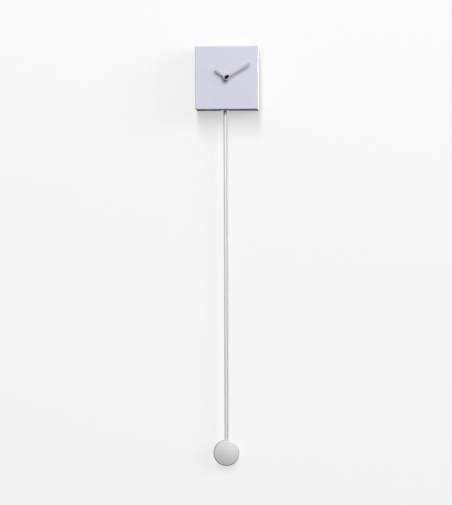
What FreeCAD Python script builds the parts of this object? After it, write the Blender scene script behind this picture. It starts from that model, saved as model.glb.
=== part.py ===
"""Pendulum wall clock: a folded steel case, a quartz pendulum movement and a long rod with a bob.

Millimetres.  +X is to the right as the clock is read, -Y is towards the reader, +Z is up.
The wall is the plane y = 0.  The origin is the centre of the round part of the keyhole
in the hanger bracket, on the wall plane.
Places marked "rel" are measured from the hands' axis: +x right, +z up.
"""
import FreeCAD, Part
import math
import os

V = FreeCAD.Vector

# ---------------------------------------------------------------- driving sizes
# case
CASE_WIDTH = 110.0
CASE_HEIGHT = 110.0
CASE_DEPTH = 50.0
SHEET = 1.5
BEND_RADIUS = 1.0
CASE_TOP_ABOVE_KEYHOLE = 18.0

# hanging hardware
KEYHOLE_RADIUS = 4.5
KEYHOLE_SLOT_WIDTH = 4.2
KEYHOLE_SLOT_RISE = 9.0
BRACKET_PLATE = 2.0
BRACKET_WIDTH = 76.0
BRACKET_DROP = 8.0
FLANGE_HEIGHT = 10.0
FLANGE_TAB_INNER = 12.0
FLANGE_TAB_OUTER = 45.0
BRACKET_SCREW_RADIUS = 1.5
BRACKET_SCREW_SPREAD = 30.0
BRACKET_SCREW_LENGTH = 7.0
NUT_AF_M3 = 5.5
NUT_HEIGHT_M3 = 2.4
BRACKET_CORNER = 3.0
SCREW_HEAD_RADIUS = BRACKET_SCREW_RADIUS * 1.9
SCREW_HEAD = 1.4
SCREW_SUNK = 0.05
RECESS_REACH = 1.6
RECESS_HALF = 0.25
RECESS_DEPTH = 0.8
ROD_SLOT_SIDE = 3.5
ROD_SLOT_FRONT = 0.5

# movement housing
MOVEMENT_WIDTH = 58.0
MOVEMENT_TOP = 28.0
MOVEMENT_DEPTH = 27.0
HOUSING_SPLIT = 14.5
HOUSING_WALL = 1.4
FRONT_WALL = 1.2
REAR_WALL = 1.5
GASKET = 1.0
LIP = 1.0
LIP_DEPTH = 1.5
HOUSING_CORNER = 2.0
WHEEL_BOSS_RADIUS = 1.3
ROTOR_BOSS_RADIUS = 1.5
SETTING_BOSS_RADIUS = 1.5
PIVOT_BOSS_RADIUS = 2.5
BOARD_POST_RADIUS = 1.6

# post, nut and hands
POST_RADIUS = 4.0
POST_LENGTH = 5.8
POST_FLANGE_RADIUS = 6.0
POST_FLANGE = 0.8
WASHER_RADIUS = 5.4
WASHER = 0.6
DIAL_NUT_AF = 9.6
DIAL_NUT = 2.0
HOUR_PIPE_RADIUS = 2.6
MINUTE_PIPE_RADIUS = 1.8
MINUTE_STUD_RADIUS = 1.2
CENTRE_ARBOR_RADIUS = 0.8
HAND_PLATE = 0.8
HAND_RIDGE = 0.5
HAND_COLLAR_WALL = 0.9
HOUR_HAND_LENGTH = 23.5
HOUR_HAND_WIDTH = 5.0
HOUR_BOSS_RADIUS = 4.6
MINUTE_HAND_LENGTH = 48.5
MINUTE_HAND_WIDTH = 4.2
MINUTE_BOSS_RADIUS = 5.5
HAND_CAP_RADIUS = 3.0
HAND_CAP_HEIGHT = 2.6
HAND_CAP_ROUNDING = 0.6
HOUR_ANGLE = 305.0
MINUTE_ANGLE = 59.0

# gears: teeth and module of each mesh, wheel first
HOUR_WHEEL_TEETH = 40
MINUTE_WHEEL_PINION_TEETH = 10
CANNON_TEETH = 12
MINUTE_WHEEL_TEETH = 36
SETTING_TEETH = 14
MINUTE_MODULE = 0.40
CENTRE_TEETH = 64
THIRD_TEETH = 60
SECONDS_TEETH = 48
INTERMEDIATE_TEETH = 40
TRAIN_PINION_TEETH = 8
THIRD_MODULE = 0.35
SECONDS_MODULE = 0.42
ROTOR_MODULE = 0.35
PRESSURE_ANGLE = math.radians(25.0)
WHEEL_ADDENDUM = 0.62
PINION_ADDENDUM = 0.72
DEDENDUM = 1.02
TOOTH_THINNING = 0.07
GEAR_THICKNESS = 1.0
LAYER_GAP = 0.6
ARBOR_RADIUS = 0.5
CENTRE_HUB_RADIUS = 1.6

# stepper motor
ROTOR_MAGNET_RADIUS = 2.1
ROTOR_MAGNET_LENGTH = 2.5
STATOR_PLATE = 1.2
ROTOR_GAP = 0.5
STEPPER_WINDING_RADIUS = 3.4
STEPPER_COIL_LENGTH = 28.0
CORE_PLATE = 1.0

# power and electronics
BATTERY_RADIUS = 7.1
BATTERY_LENGTH = 50.2
BATTERY_NUB_RADIUS = 2.7
BATTERY_NUB_LENGTH = 1.2
BATTERY_CLEARANCE = 0.4
BAY_WALL = 1.0
CONTACT_SHEET = 0.4
CONTACT_HALF_DEPTH = 6.0
CONTACT_HALF_HEIGHT = 5.0
LEAF_HALF_HEIGHT = 2.0
LEAF_FOOT = 5.0
LEAF_FOOT_INNER = 4.4
LEAF_TOP = 1.0
LEAF_TOP_INNER = 0.9
LEAF_SHEET = 0.3
LEAF_SUNK = 0.1
BOARD_SHEET = 1.0

# pendulum
PENDULUM_OFFSET = -4.0
PIVOT_BELOW_BAY = 2.6
PIVOT_PIN_RADIUS = 1.0
ARM_THICKNESS = 3.0
ARM_HUB_RADIUS = 3.4
DRIVE_MAGNET_RADIUS = 4.0
DRIVE_MAGNET_LENGTH = 2.0
PIVOT_TO_MAGNET = 9.0
MAGNET_TO_HOOK = 7.0
HOOK_TO_ROD = 5.0
DRIVE_COIL_RADIUS = 5.5
HOOK_PIN_RADIUS = 1.25
HOOK_PLATE = 1.5
HOOK_EYE_WALL = 2.8
ARM_HALF = 2.6
ARM_END_RADIUS = 3.0
MAGNET_SEAT_WALL = 1.2
ROD_RADIUS = 3.0
ROD_BORE_RADIUS = 2.2
BOB_DROP = 668.0
BOB_RADIUS = 23.0
BOB_EDGE_RADIUS = 3.5
BOB_SIDE = 8.0
BOB_CROWN = 2.5
BOB_SHEET = 1.2
BOB_BACK_PLATE = 1.5
ROD_INTO_BOB = 10.0

# clearances; PAST is how far a cutting tool runs on beyond what it cuts
PAST = 1.0
RUNNING = 0.05
EASY = 0.10
FREE = 0.40

# ---------------------------------------------------------------- planes and axes
Y_FACE = -CASE_DEPTH
Y_FACE_BACK = Y_FACE + SHEET
Y_MOVEMENT = Y_FACE_BACK + GASKET
Y_TRAIN = Y_MOVEMENT + FRONT_WALL
Y_SPLIT = Y_MOVEMENT + HOUSING_SPLIT
Y_MOVEMENT_BACK = Y_MOVEMENT + MOVEMENT_DEPTH
Y_BACK_INSIDE = Y_MOVEMENT_BACK - REAR_WALL

HANDS_Z = CASE_TOP_ABOVE_KEYHOLE - CASE_HEIGHT / 2.0
CASE_TOP = CASE_TOP_ABOVE_KEYHOLE
CASE_BOTTOM = CASE_TOP - CASE_HEIGHT
BRACKET_SCREW_Z = CASE_TOP - SHEET - FLANGE_HEIGHT / 2.0


def rel(x, z):
    """A point given from the hands' axis, in the clock's own frame."""
    return x, HANDS_Z + z


# ---------------------------------------------------------------- solids
def box(x0, x1, y0, y1, z0, z1):
    return Part.makeBox(x1 - x0, y1 - y0, z1 - z0, V(x0, y0, z0))


def rod_y(x, z, radius, y0, y1):
    return Part.makeCylinder(radius, y1 - y0, V(x, y0, z), V(0, 1, 0))


def ring_y(x, z, outer, inner, y0, y1):
    return rod_y(x, z, outer, y0, y1).cut(rod_y(x, z, inner, y0, y1))


def rod_x(y, z, radius, x0, x1):
    return Part.makeCylinder(radius, x1 - x0, V(x0, y, z), V(1, 0, 0))


def rod_z(x, y, radius, z0, z1):
    return Part.makeCylinder(radius, z1 - z0, V(x, y, z0), V(0, 0, 1))


def plate_y(points, y0, y1):
    """A flat plate with the outline [(x, z), ...] between two y planes."""
    loop = [V(x, y0, z) for x, z in points]
    face = Part.Face(Part.makePolygon(loop + [loop[0]]))
    return face.extrude(V(0, y1 - y0, 0))


def turned_y(x, z, profile):
    """A solid of revolution about the line through (x, z) along Y; profile is [(radius, y), ...]."""
    loop = [V(x + radius, y, z) for radius, y in profile]
    face = Part.Face(Part.makePolygon(loop + [loop[0]]))
    return face.revolve(V(x, 0, z), V(0, 1, 0), 360)


def hexagon_y(x, z, across_flats, y0, y1):
    corner = across_flats / math.sqrt(3.0)
    points = []
    for k in range(6):
        angle = math.radians(60.0 * k)
        points.append((x + corner * math.cos(angle), z + corner * math.sin(angle)))
    return plate_y(points, y0, y1)


def fuse(shapes):
    whole = shapes[0]
    for shape in shapes[1:]:
        whole = whole.fuse(shape)
    return whole.removeSplitter()


def cut(shape, tools):
    for tool in tools:
        shape = shape.cut(tool)
    return shape


# ---------------------------------------------------------------- gears
def involute(angle):
    return math.tan(angle) - angle


def gear_y(centre, teeth, module, addendum, phase, y0, y1):
    """A spur gear with straight-facetted involute teeth; phase is the angle of one tooth's middle."""
    pitch = teeth * module / 2.0
    base = pitch * math.cos(PRESSURE_ANGLE)
    tip = pitch + addendum * module
    root = pitch - DEDENDUM * module
    half_at_pitch = (math.pi * module / 2.0 - TOOTH_THINNING) / (2.0 * pitch)
    flank_start = max(base, root)
    steps = 4
    flank = []
    for k in range(steps + 1):
        radius = flank_start + (tip - flank_start) * k / steps
        roll = math.acos(min(1.0, base / radius))
        half = half_at_pitch + involute(PRESSURE_ANGLE) - involute(roll)
        flank.append((radius, half))
    if root < base:
        flank.insert(0, (root, flank[0][1]))
    points = []
    for tooth in range(teeth):
        middle = phase + 2.0 * math.pi * tooth / teeth
        for radius, half in flank:
            points.append((radius, middle - half))
        for radius, half in reversed(flank):
            points.append((radius, middle + half))
    outline = [(centre[0] + r * math.cos(a), centre[1] + r * math.sin(a)) for r, a in points]
    return plate_y(outline, y0, y1)


def meshed_phase(driver_phase, driver_teeth, follower_teeth, direction):
    """The phase that puts a gap of the follower on the driver's tooth; direction is driver to follower."""
    offset = driver_phase - direction
    return direction + math.pi + math.pi / follower_teeth - offset * driver_teeth / follower_teeth


def polar(distance, angle):
    return distance * math.cos(angle), distance * math.sin(angle)


def shifted(point, step):
    return point[0] + step[0], point[1] + step[1]


# gear centres, rel: the motion work sits up and left, the going train spreads both ways
MINUTE_DISTANCE = MINUTE_MODULE * (CANNON_TEETH + MINUTE_WHEEL_TEETH) / 2.0
HOUR_MODULE = 2.0 * MINUTE_DISTANCE / (HOUR_WHEEL_TEETH + MINUTE_WHEEL_PINION_TEETH)
SETTING_DISTANCE = MINUTE_MODULE * (MINUTE_WHEEL_TEETH + SETTING_TEETH) / 2.0
THIRD_DISTANCE = THIRD_MODULE * (THIRD_TEETH + TRAIN_PINION_TEETH) / 2.0
CENTRE_MODULE = 2.0 * THIRD_DISTANCE / (CENTRE_TEETH + TRAIN_PINION_TEETH)
SECONDS_DISTANCE = SECONDS_MODULE * (SECONDS_TEETH + TRAIN_PINION_TEETH) / 2.0
ROTOR_DISTANCE = ROTOR_MODULE * (INTERMEDIATE_TEETH + TRAIN_PINION_TEETH) / 2.0

TO_MINUTE_WHEEL = math.radians(110.0)
TO_SETTING = math.radians(135.0)
TO_THIRD = math.radians(180.0)
TO_INTERMEDIATE = math.radians(20.0)
TO_ROTOR = math.radians(75.0)

MINUTE_WHEEL_AT = polar(MINUTE_DISTANCE, TO_MINUTE_WHEEL)
SETTING_AT = shifted(MINUTE_WHEEL_AT, polar(SETTING_DISTANCE, TO_SETTING))
THIRD_AT = polar(THIRD_DISTANCE, TO_THIRD)
INTERMEDIATE_AT = polar(SECONDS_DISTANCE, TO_INTERMEDIATE)
ROTOR_AT = shifted(INTERMEDIATE_AT, polar(ROTOR_DISTANCE, TO_ROTOR))

# gear layers, front to back: each is where a layer's gears start
LAYER_STEP = GEAR_THICKNESS + LAYER_GAP
LAYER_HOUR = Y_TRAIN + 0.3
LAYER_CANNON = LAYER_HOUR + LAYER_STEP
LAYER_CENTRE = LAYER_CANNON + LAYER_STEP
LAYER_THIRD = LAYER_CENTRE + LAYER_STEP
LAYER_SECONDS = LAYER_THIRD + LAYER_STEP
LAYER_INTERMEDIATE = LAYER_SECONDS + LAYER_STEP
Y_MAGNET = LAYER_INTERMEDIATE + LAYER_STEP
Y_STATOR = Y_MAGNET + (ROTOR_MAGNET_LENGTH - STATOR_PLATE) / 2.0
Y_BRIDGE = Y_MAGNET + ROTOR_MAGNET_LENGTH + 0.8
BRIDGE_PLATE = 1.2
Y_BOSS_END = LAYER_CENTRE - 0.3
Y_ARBOR_FRONT = Y_BOSS_END - 1.2
Y_ARBOR_BACK = Y_BRIDGE + BRIDGE_PLATE - 0.2
ROTOR_BOSS_END = LAYER_INTERMEDIATE - 1.0
PILLAR_RADIUS = 1.8
PILLAR_PIN_RADIUS = 0.8
PILLARS = [(-23.0, -9.0), (21.0, -8.0), (-16.5, 13.0)]

# hands, front to back
Y_WASHER = Y_FACE - WASHER
Y_DIAL_NUT = Y_WASHER - DIAL_NUT
Y_POST_END = Y_MOVEMENT - POST_LENGTH
HOUR_COLLAR = 0.8
Y_HOUR_HAND = Y_POST_END - 0.3 - HOUR_COLLAR
Y_HOUR_PIPE_END = Y_HOUR_HAND - HAND_PLATE
MINUTE_COLLAR = 0.8
Y_MINUTE_HAND = Y_HOUR_PIPE_END - HAND_RIDGE - 0.4 - MINUTE_COLLAR
Y_MINUTE_PIPE_END = Y_MINUTE_HAND - HAND_PLATE
Y_STUD_END = Y_MINUTE_PIPE_END - 1.5
Y_CENTRE_ARBOR_END = Y_MINUTE_PIPE_END - 0.2

# stepper motor, rel
COIL_Z = 21.6
STATOR_LOW = 9.0
STATOR_BAR_TOP = 15.0
STATOR_TOP = 24.2
STATOR_HALF = 20.0
STATOR_LEG = 4.5
Y_CORE = Y_STATOR + STATOR_PLATE
Y_COIL = Y_CORE + CORE_PLATE / 2.0
Y_BOARD = Y_COIL + STEPPER_WINDING_RADIUS + 0.8

# battery bay, rel; the bay hangs below the wheels
WHEELS_LOW = 11.9
BAY_HALF = BATTERY_RADIUS + BATTERY_CLEARANCE
BATTERY_Z = -(WHEELS_LOW + BAY_WALL + BAY_HALF)
BATTERY_Y = Y_MOVEMENT_BACK - BATTERY_CLEARANCE - BATTERY_RADIUS - 1.0
BAY_FLOOR = BATTERY_Y - BATTERY_RADIUS - BATTERY_CLEARANCE
BAY_OUTER_X = MOVEMENT_WIDTH / 2.0 - HOUSING_WALL - 0.2
BAY_INNER_X = BAY_OUTER_X - BAY_WALL
BATTERY_PLUS_X = BAY_INNER_X - CONTACT_SHEET

# pendulum: pivot under the bay, then the drive magnet, the hook pin and the rod
PIVOT_DROP = WHEELS_LOW + 2.0 * (BAY_WALL + BAY_HALF) + PIVOT_BELOW_BAY
DRIVE_MAGNET_DROP = PIVOT_DROP + PIVOT_TO_MAGNET
HOOK_PIN_DROP = DRIVE_MAGNET_DROP + MAGNET_TO_HOOK
ROD_TOP_DROP = HOOK_PIN_DROP + HOOK_TO_ROD
MOVEMENT_BOTTOM = DRIVE_MAGNET_DROP + DRIVE_COIL_RADIUS + 2.0
PIVOT = rel(PENDULUM_OFFSET, -PIVOT_DROP)
PIN_BOSS = 1.3
Y_ARM = Y_MOVEMENT_BACK + PIN_BOSS + FREE
Y_ARM_BACK = Y_ARM + ARM_THICKNESS
CLIP = 0.6
Y_CLIP = Y_ARM_BACK + 0.3
Y_PIN_END = Y_CLIP + CLIP + 1.0
Y_ROD = Y_ARM_BACK + 1.05 + HOOK_PLATE / 2.0
BOB_AT = rel(PENDULUM_OFFSET, -BOB_DROP)
ROD_TOP = HANDS_Z - ROD_TOP_DROP
Y_BOB_BACK = Y_ROD + BOB_SIDE - 2.0
Y_BOB_EDGE = Y_BOB_BACK - BOB_SIDE

# snaps between the two housing halves
SNAP_HALF = 3.0
SNAP_SHEET = 1.2
SNAP_REACH = 5.0
SNAP_ZS = (12.0, -34.0)
SNAP_CATCH = 0.9

# posts that carry the circuit board, its crystal and its chip
BOARD_POSTS = [(-3.5, 11.0), (22.5, 22.0)]
BOARD_X = (-6.5, 26.0)
BOARD_Z = (8.0, 25.5)
CRYSTAL_RADIUS = 1.5
CRYSTAL_Z = 13.0
CRYSTAL_X = (4.0, 11.5)
CHIP_AT = (14.0, 19.5)

# setting stem and its knob
SETTING_STEM_RADIUS = 1.0
SETTING_KNOB_RADIUS = 5.0
SETTING_KNOB_LENGTH = 3.6
KNOB_GROOVES = 18
KNOB_GROOVE_RADIUS = 0.5
KNOB_GROOVE_OUT = 0.15
KNOB_END_WALL = 0.8
Y_KNOB = Y_MOVEMENT_BACK + 0.3

# coil of the motor
CORE_HALF_HEIGHT = 1.6
BOBBIN_WALL = 0.6
BOBBIN_FLANGE = 1.0

# coil that drives the pendulum
DRIVE_COIL_LENGTH = 5.0
DRIVE_BOBBIN_CORE = 2.2
DRIVE_BOBBIN_BORE = 1.2
DRIVE_BOBBIN_FLANGE = 0.7
DRIVE_WINDING_INSET = 0.4

# pivot clip, hook and rivet
CLIP_GROOVE_RADIUS = 0.7
CLIP_RADIUS = 2.4
CLIP_MOUTH_HALF = 0.6
PIN_SEAT = 2.8
Y_HOOK = Y_ROD - HOOK_PLATE / 2.0
RIVET_RADIUS = 0.8
RIVET_DROP = ROD_TOP_DROP + 1.9
TANG_LENGTH = 11.0

# weight and screw of the bob
WEIGHT_FRONT = Y_BOB_EDGE - BOB_EDGE_RADIUS + BOB_SHEET + 0.2
WEIGHT_BACK = Y_BOB_BACK - BOB_BACK_PLATE
WEIGHT_RADIUS = BOB_RADIUS - BOB_EDGE_RADIUS
BOB_SCREW_RADIUS = 1.5
BOB_SCREW_HEAD_RADIUS = 2.8
BOB_SCREW_HEAD = 1.9
BOB_SCREW_SLOT_HALF = 0.35
BOB_SCREW_SLOT_DEPTH = 0.8


# ---------------------------------------------------------------- case and hanger
def case_shell():
    """Folded and welded sheet box, open at the back, with two lugs inside for the hanger."""
    half = CASE_WIDTH / 2.0
    shell = box(-half, half, Y_FACE, 0.0, CASE_BOTTOM, CASE_TOP)
    bent = []
    for edge in shell.Edges:
        middle = edge.CenterOfMass
        if middle.y < -0.01:
            bent.append(edge)
    shell = shell.makeFillet(BEND_RADIUS, bent)
    inside = box(-half + SHEET, half - SHEET, Y_FACE_BACK, 1.0, CASE_BOTTOM + SHEET, CASE_TOP - SHEET)
    shell = shell.cut(inside)
    slot_half = ROD_RADIUS + ROD_SLOT_SIDE
    slot_front = Y_ROD - ROD_RADIUS - ROD_SLOT_FRONT
    slot = fuse([
        rod_z(PENDULUM_OFFSET, slot_front, slot_half, CASE_BOTTOM - PAST, CASE_BOTTOM + SHEET + PAST),
        box(PENDULUM_OFFSET - slot_half, PENDULUM_OFFSET + slot_half, slot_front, 1.0,
            CASE_BOTTOM - PAST, CASE_BOTTOM + SHEET + PAST),
    ])
    post_hole = rod_y(0.0, HANDS_Z, POST_RADIUS + EASY, Y_FACE - PAST, Y_FACE_BACK + PAST)
    shell = cut(shell, [slot, post_hole])
    lugs = []
    for side in (-1.0, 1.0):
        xs = sorted((side * FLANGE_TAB_INNER, side * FLANGE_TAB_OUTER))
        lug = box(xs[0], xs[1], -BRACKET_PLATE - SHEET, -BRACKET_PLATE,
                  CASE_TOP - SHEET - FLANGE_HEIGHT, CASE_TOP - SHEET)
        hole = rod_y(side * BRACKET_SCREW_SPREAD, BRACKET_SCREW_Z, BRACKET_SCREW_RADIUS + EASY,
                     -BRACKET_PLATE - SHEET - 1.0, 0.0)
        lugs.append(lug.cut(hole))
    return fuse([shell] + lugs)


def hanger_bracket():
    """Flat plate with a keyhole: the wall screw's head enters the round part, then rides up the slot."""
    half = BRACKET_WIDTH / 2.0
    top = CASE_TOP - SHEET - FREE
    plate = box(-half, half, -BRACKET_PLATE, 0.0, -BRACKET_DROP, top)
    corners = []
    for edge in plate.Edges:
        middle = edge.CenterOfMass
        if abs(abs(middle.x) - half) < 0.01 and abs(middle.y + BRACKET_PLATE / 2.0) < 0.01:
            corners.append(edge)
    plate = plate.makeFillet(BRACKET_CORNER, corners)
    slot_half = KEYHOLE_SLOT_WIDTH / 2.0
    tools = [
        rod_y(0.0, 0.0, KEYHOLE_RADIUS, -BRACKET_PLATE - PAST, PAST),
        rod_y(0.0, KEYHOLE_SLOT_RISE, slot_half, -BRACKET_PLATE - PAST, PAST),
        box(-slot_half, slot_half, -BRACKET_PLATE - PAST, PAST, 0.0, KEYHOLE_SLOT_RISE),
    ]
    for side in (-1.0, 1.0):
        x = side * BRACKET_SCREW_SPREAD
        tools.append(rod_y(x, BRACKET_SCREW_Z, BRACKET_SCREW_RADIUS + EASY, -BRACKET_PLATE - PAST, PAST))
        tools.append(turned_y(x, BRACKET_SCREW_Z, [
            (0.0, 0.0), (SCREW_HEAD_RADIUS + EASY, 0.0),
            (BRACKET_SCREW_RADIUS + EASY, -SCREW_HEAD), (0.0, -SCREW_HEAD)]))
    return cut(plate, tools)


def bracket_screws():
    screws = []
    for side in (-1.0, 1.0):
        x = side * BRACKET_SCREW_SPREAD
        screw = turned_y(x, BRACKET_SCREW_Z, [
            (0.0, -SCREW_SUNK), (SCREW_HEAD_RADIUS, -SCREW_SUNK), (BRACKET_SCREW_RADIUS, -SCREW_HEAD),
            (BRACKET_SCREW_RADIUS, -BRACKET_SCREW_LENGTH), (0.0, -BRACKET_SCREW_LENGTH)])
        recess = fuse([
            box(x - RECESS_REACH, x + RECESS_REACH, -RECESS_DEPTH, PAST,
                BRACKET_SCREW_Z - RECESS_HALF, BRACKET_SCREW_Z + RECESS_HALF),
            box(x - RECESS_HALF, x + RECESS_HALF, -RECESS_DEPTH, PAST,
                BRACKET_SCREW_Z - RECESS_REACH, BRACKET_SCREW_Z + RECESS_REACH)])
        screws.append(screw.cut(recess))
    return Part.makeCompound(screws)


def bracket_nuts():
    back = -BRACKET_PLATE - SHEET
    nuts = []
    for side in (-1.0, 1.0):
        x = side * BRACKET_SCREW_SPREAD
        nut = hexagon_y(x, BRACKET_SCREW_Z, NUT_AF_M3, back - NUT_HEIGHT_M3, back)
        nuts.append(nut.cut(rod_y(x, BRACKET_SCREW_Z, BRACKET_SCREW_RADIUS, back - 5.0, back + 1.0)))
    return Part.makeCompound(nuts)


# ---------------------------------------------------------------- movement housing
def housing_box(y0, y1, inset):
    half = MOVEMENT_WIDTH / 2.0 - inset
    return box(-half, half, y0, y1, HANDS_Z - MOVEMENT_BOTTOM + inset, HANDS_Z + MOVEMENT_TOP - inset)


def rounded_housing_box(y0, y1, radius):
    """The movement's outer block, with its four edges along the depth rounded."""
    block = housing_box(y0, y1, 0.0)
    long_edges = [e for e in block.Edges if abs(e.tangentAt(e.FirstParameter).y) > 0.99]
    return block.makeFillet(radius, long_edges)


def movement_front_housing():
    """Front moulding: dial-side wall, side walls, bearing bosses and the pillars that carry the bridge."""
    shell = rounded_housing_box(Y_MOVEMENT, Y_SPLIT, HOUSING_CORNER)
    shell = shell.cut(housing_box(Y_TRAIN, Y_SPLIT + 1.0, HOUSING_WALL))
    solids = [shell]
    for at in (THIRD_AT, INTERMEDIATE_AT):
        x, z = rel(*at)
        solids.append(rod_y(x, z, WHEEL_BOSS_RADIUS, Y_TRAIN, Y_BOSS_END))
    x, z = rel(*ROTOR_AT)
    solids.append(rod_y(x, z, ROTOR_BOSS_RADIUS, Y_TRAIN, ROTOR_BOSS_END))
    for at in PILLARS:
        x, z = rel(*at)
        solids.append(rod_y(x, z, PILLAR_RADIUS, Y_TRAIN, Y_BRIDGE))
        solids.append(rod_y(x, z, PILLAR_PIN_RADIUS, Y_BRIDGE, Y_BRIDGE + BRIDGE_PLATE + 0.4))
    x, z = rel(*MINUTE_WHEEL_AT)
    solids.append(rod_y(x, z, CENTRE_ARBOR_RADIUS, Y_TRAIN, LAYER_CENTRE - 0.3))
    x, z = rel(*SETTING_AT)
    solids.append(rod_y(x, z, SETTING_BOSS_RADIUS, Y_TRAIN, LAYER_CANNON - 0.2))
    half = MOVEMENT_WIDTH / 2.0
    for side in (-1.0, 1.0):
        for snap_z in SNAP_ZS:
            z = HANDS_Z + snap_z
            solids.append(catch_wedge(side, half, z))
    body = fuse(solids)
    holes = [rod_y(0.0, HANDS_Z, POST_RADIUS, Y_MOVEMENT - 1.0, Y_TRAIN + 0.5)]
    for at in (THIRD_AT, INTERMEDIATE_AT):
        x, z = rel(*at)
        holes.append(rod_y(x, z, ARBOR_RADIUS + RUNNING, Y_ARBOR_FRONT - 0.2, Y_BOSS_END + 0.5))
    x, z = rel(*ROTOR_AT)
    holes.append(rod_y(x, z, ARBOR_RADIUS + RUNNING, ROTOR_BOSS_END - 1.6, ROTOR_BOSS_END + 0.5))
    x, z = rel(*SETTING_AT)
    holes.append(rod_y(x, z, ARBOR_RADIUS + RUNNING, Y_TRAIN + 0.2, LAYER_CANNON + 0.5))
    return cut(body, holes)


def catch_wedge(side, half, z):
    """A ramped catch on the side wall, which a snap arm's window drops over."""
    y_top = Y_SPLIT - 1.6
    y_low = y_top - 1.8
    reach = side * (half + SNAP_CATCH)
    inner = side * (half - 0.3)
    corners = [V(inner, y_top, z - 1.8), V(reach, y_top, z - 1.8), V(inner, y_low, z - 1.8)]
    face = Part.Face(Part.makePolygon(corners + [corners[0]]))
    return face.extrude(V(0, 0, 3.6))


def snap_arm(side, z):
    """A flexible arm of the rear cover with a window for the catch."""
    half = MOVEMENT_WIDTH / 2.0
    xs = sorted((side * (half + EASY), side * (half + EASY + SNAP_SHEET)))
    root = sorted((side * (half - 0.5), side * (half + EASY + SNAP_SHEET)))
    arm = fuse([
        box(xs[0], xs[1], Y_SPLIT - SNAP_REACH, Y_SPLIT + 2.5, z - SNAP_HALF, z + SNAP_HALF),
        box(root[0], root[1], Y_SPLIT + 1.0, Y_SPLIT + 2.5, z - SNAP_HALF, z + SNAP_HALF),
    ])
    window = box(xs[0] - PAST, xs[1] + PAST, Y_SPLIT - 3.6, Y_SPLIT - 1.45, z - 2.0, z + 2.0)
    return arm.cut(window)


def movement_rear_cover():
    """Rear moulding: battery bay open to the back, pivot boss for the pendulum, coil and board seats."""
    shell = rounded_housing_box(Y_SPLIT, Y_MOVEMENT_BACK, HOUSING_CORNER)
    shell = shell.cut(housing_box(Y_SPLIT - 1.0, Y_BACK_INSIDE, HOUSING_WALL))
    lip = housing_box(Y_SPLIT - LIP_DEPTH, Y_SPLIT + 1.0, HOUSING_WALL + EASY)
    lip = lip.cut(housing_box(Y_SPLIT - LIP_DEPTH - 1.0, Y_SPLIT + 2.0, HOUSING_WALL + EASY + LIP))
    lip = fuse([lip, housing_box(Y_SPLIT, Y_SPLIT + 1.0, 0.5).cut(
        housing_box(Y_SPLIT - 1.0, Y_SPLIT + 2.0, HOUSING_WALL + EASY + LIP))])
    z = HANDS_Z + BATTERY_Z
    bay = box(-BAY_OUTER_X, BAY_OUTER_X, BAY_FLOOR - BAY_WALL, Y_MOVEMENT_BACK - 0.5,
              z - BAY_HALF - BAY_WALL, z + BAY_HALF + BAY_WALL)
    solids = [shell, lip, bay]
    px, pz = PIVOT
    solids.append(rod_y(px, pz, PIVOT_BOSS_RADIUS, Y_BACK_INSIDE - 3.0, Y_MOVEMENT_BACK + PIN_BOSS))
    for at in BOARD_POSTS:
        x, bz = rel(*at)
        solids.append(rod_y(x, bz, BOARD_POST_RADIUS, Y_BOARD + BOARD_SHEET, Y_BACK_INSIDE + 0.5))
    for side in (-1.0, 1.0):
        for snap_z in SNAP_ZS:
            solids.append(snap_arm(side, HANDS_Z + snap_z))
    body = fuse(solids)
    sx, sz = rel(*SETTING_AT)
    hollows = [
        box(-BAY_INNER_X, BAY_INNER_X, BAY_FLOOR, Y_MOVEMENT_BACK + 1.0, z - BAY_HALF, z + BAY_HALF),
        rod_y(px, pz, PIVOT_PIN_RADIUS, Y_BACK_INSIDE - 4.0, Y_MOVEMENT_BACK + PIN_BOSS + 1.0),
        rod_y(sx, sz, SETTING_STEM_RADIUS + RUNNING, Y_BACK_INSIDE - PAST, Y_MOVEMENT_BACK + PAST),
    ]
    for x0 in (-BAY_INNER_X, BAY_INNER_X - 9.0):
        hollows.append(box(x0 + 2.0, x0 + 7.0, Y_MOVEMENT_BACK - 0.5, Y_MOVEMENT_BACK + 1.0,
                           z + BAY_HALF + 1.5, z + BAY_HALF + 2.3))
    return cut(body, hollows)


def train_bridge():
    """Plate behind the wheels that carries their rear pivots, held on the housing's pillars."""
    outline = [rel(x, z) for x, z in (
        (-25.2, -11.2), (23.2, -11.2), (23.2, -5.0), (16.5, 6.0), (16.5, 14.6), (8.0, 14.6),
        (2.0, 7.5), (-8.0, 7.5), (-13.5, 14.6), (-18.9, 14.6), (-18.9, 6.0), (-25.2, -3.0))]
    plate = plate_y(outline, Y_BRIDGE, Y_BRIDGE + BRIDGE_PLATE)
    holes = []
    for at in ((0.0, 0.0), THIRD_AT, INTERMEDIATE_AT, ROTOR_AT):
        x, z = rel(*at)
        holes.append(rod_y(x, z, ARBOR_RADIUS + RUNNING, Y_BRIDGE - PAST, Y_BRIDGE + BRIDGE_PLATE + PAST))
    for at in PILLARS:
        x, z = rel(*at)
        holes.append(rod_y(x, z, PILLAR_PIN_RADIUS + RUNNING,
                           Y_BRIDGE - PAST, Y_BRIDGE + BRIDGE_PLATE + PAST))
    return cut(plate, holes)


# ---------------------------------------------------------------- post, gasket, washer, nut
def threaded_post():
    """Bushing pressed in the front housing; its thread clamps the movement to the face."""
    bore = HOUR_PIPE_RADIUS + RUNNING
    return turned_y(0.0, HANDS_Z, [
        (bore, Y_TRAIN), (POST_RADIUS, Y_TRAIN), (POST_RADIUS, Y_MOVEMENT),
        (POST_FLANGE_RADIUS, Y_MOVEMENT), (POST_FLANGE_RADIUS, Y_MOVEMENT - POST_FLANGE),
        (POST_RADIUS, Y_MOVEMENT - POST_FLANGE), (POST_RADIUS, Y_POST_END + 0.4),
        (POST_RADIUS - 0.4, Y_POST_END), (bore, Y_POST_END)])


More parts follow.
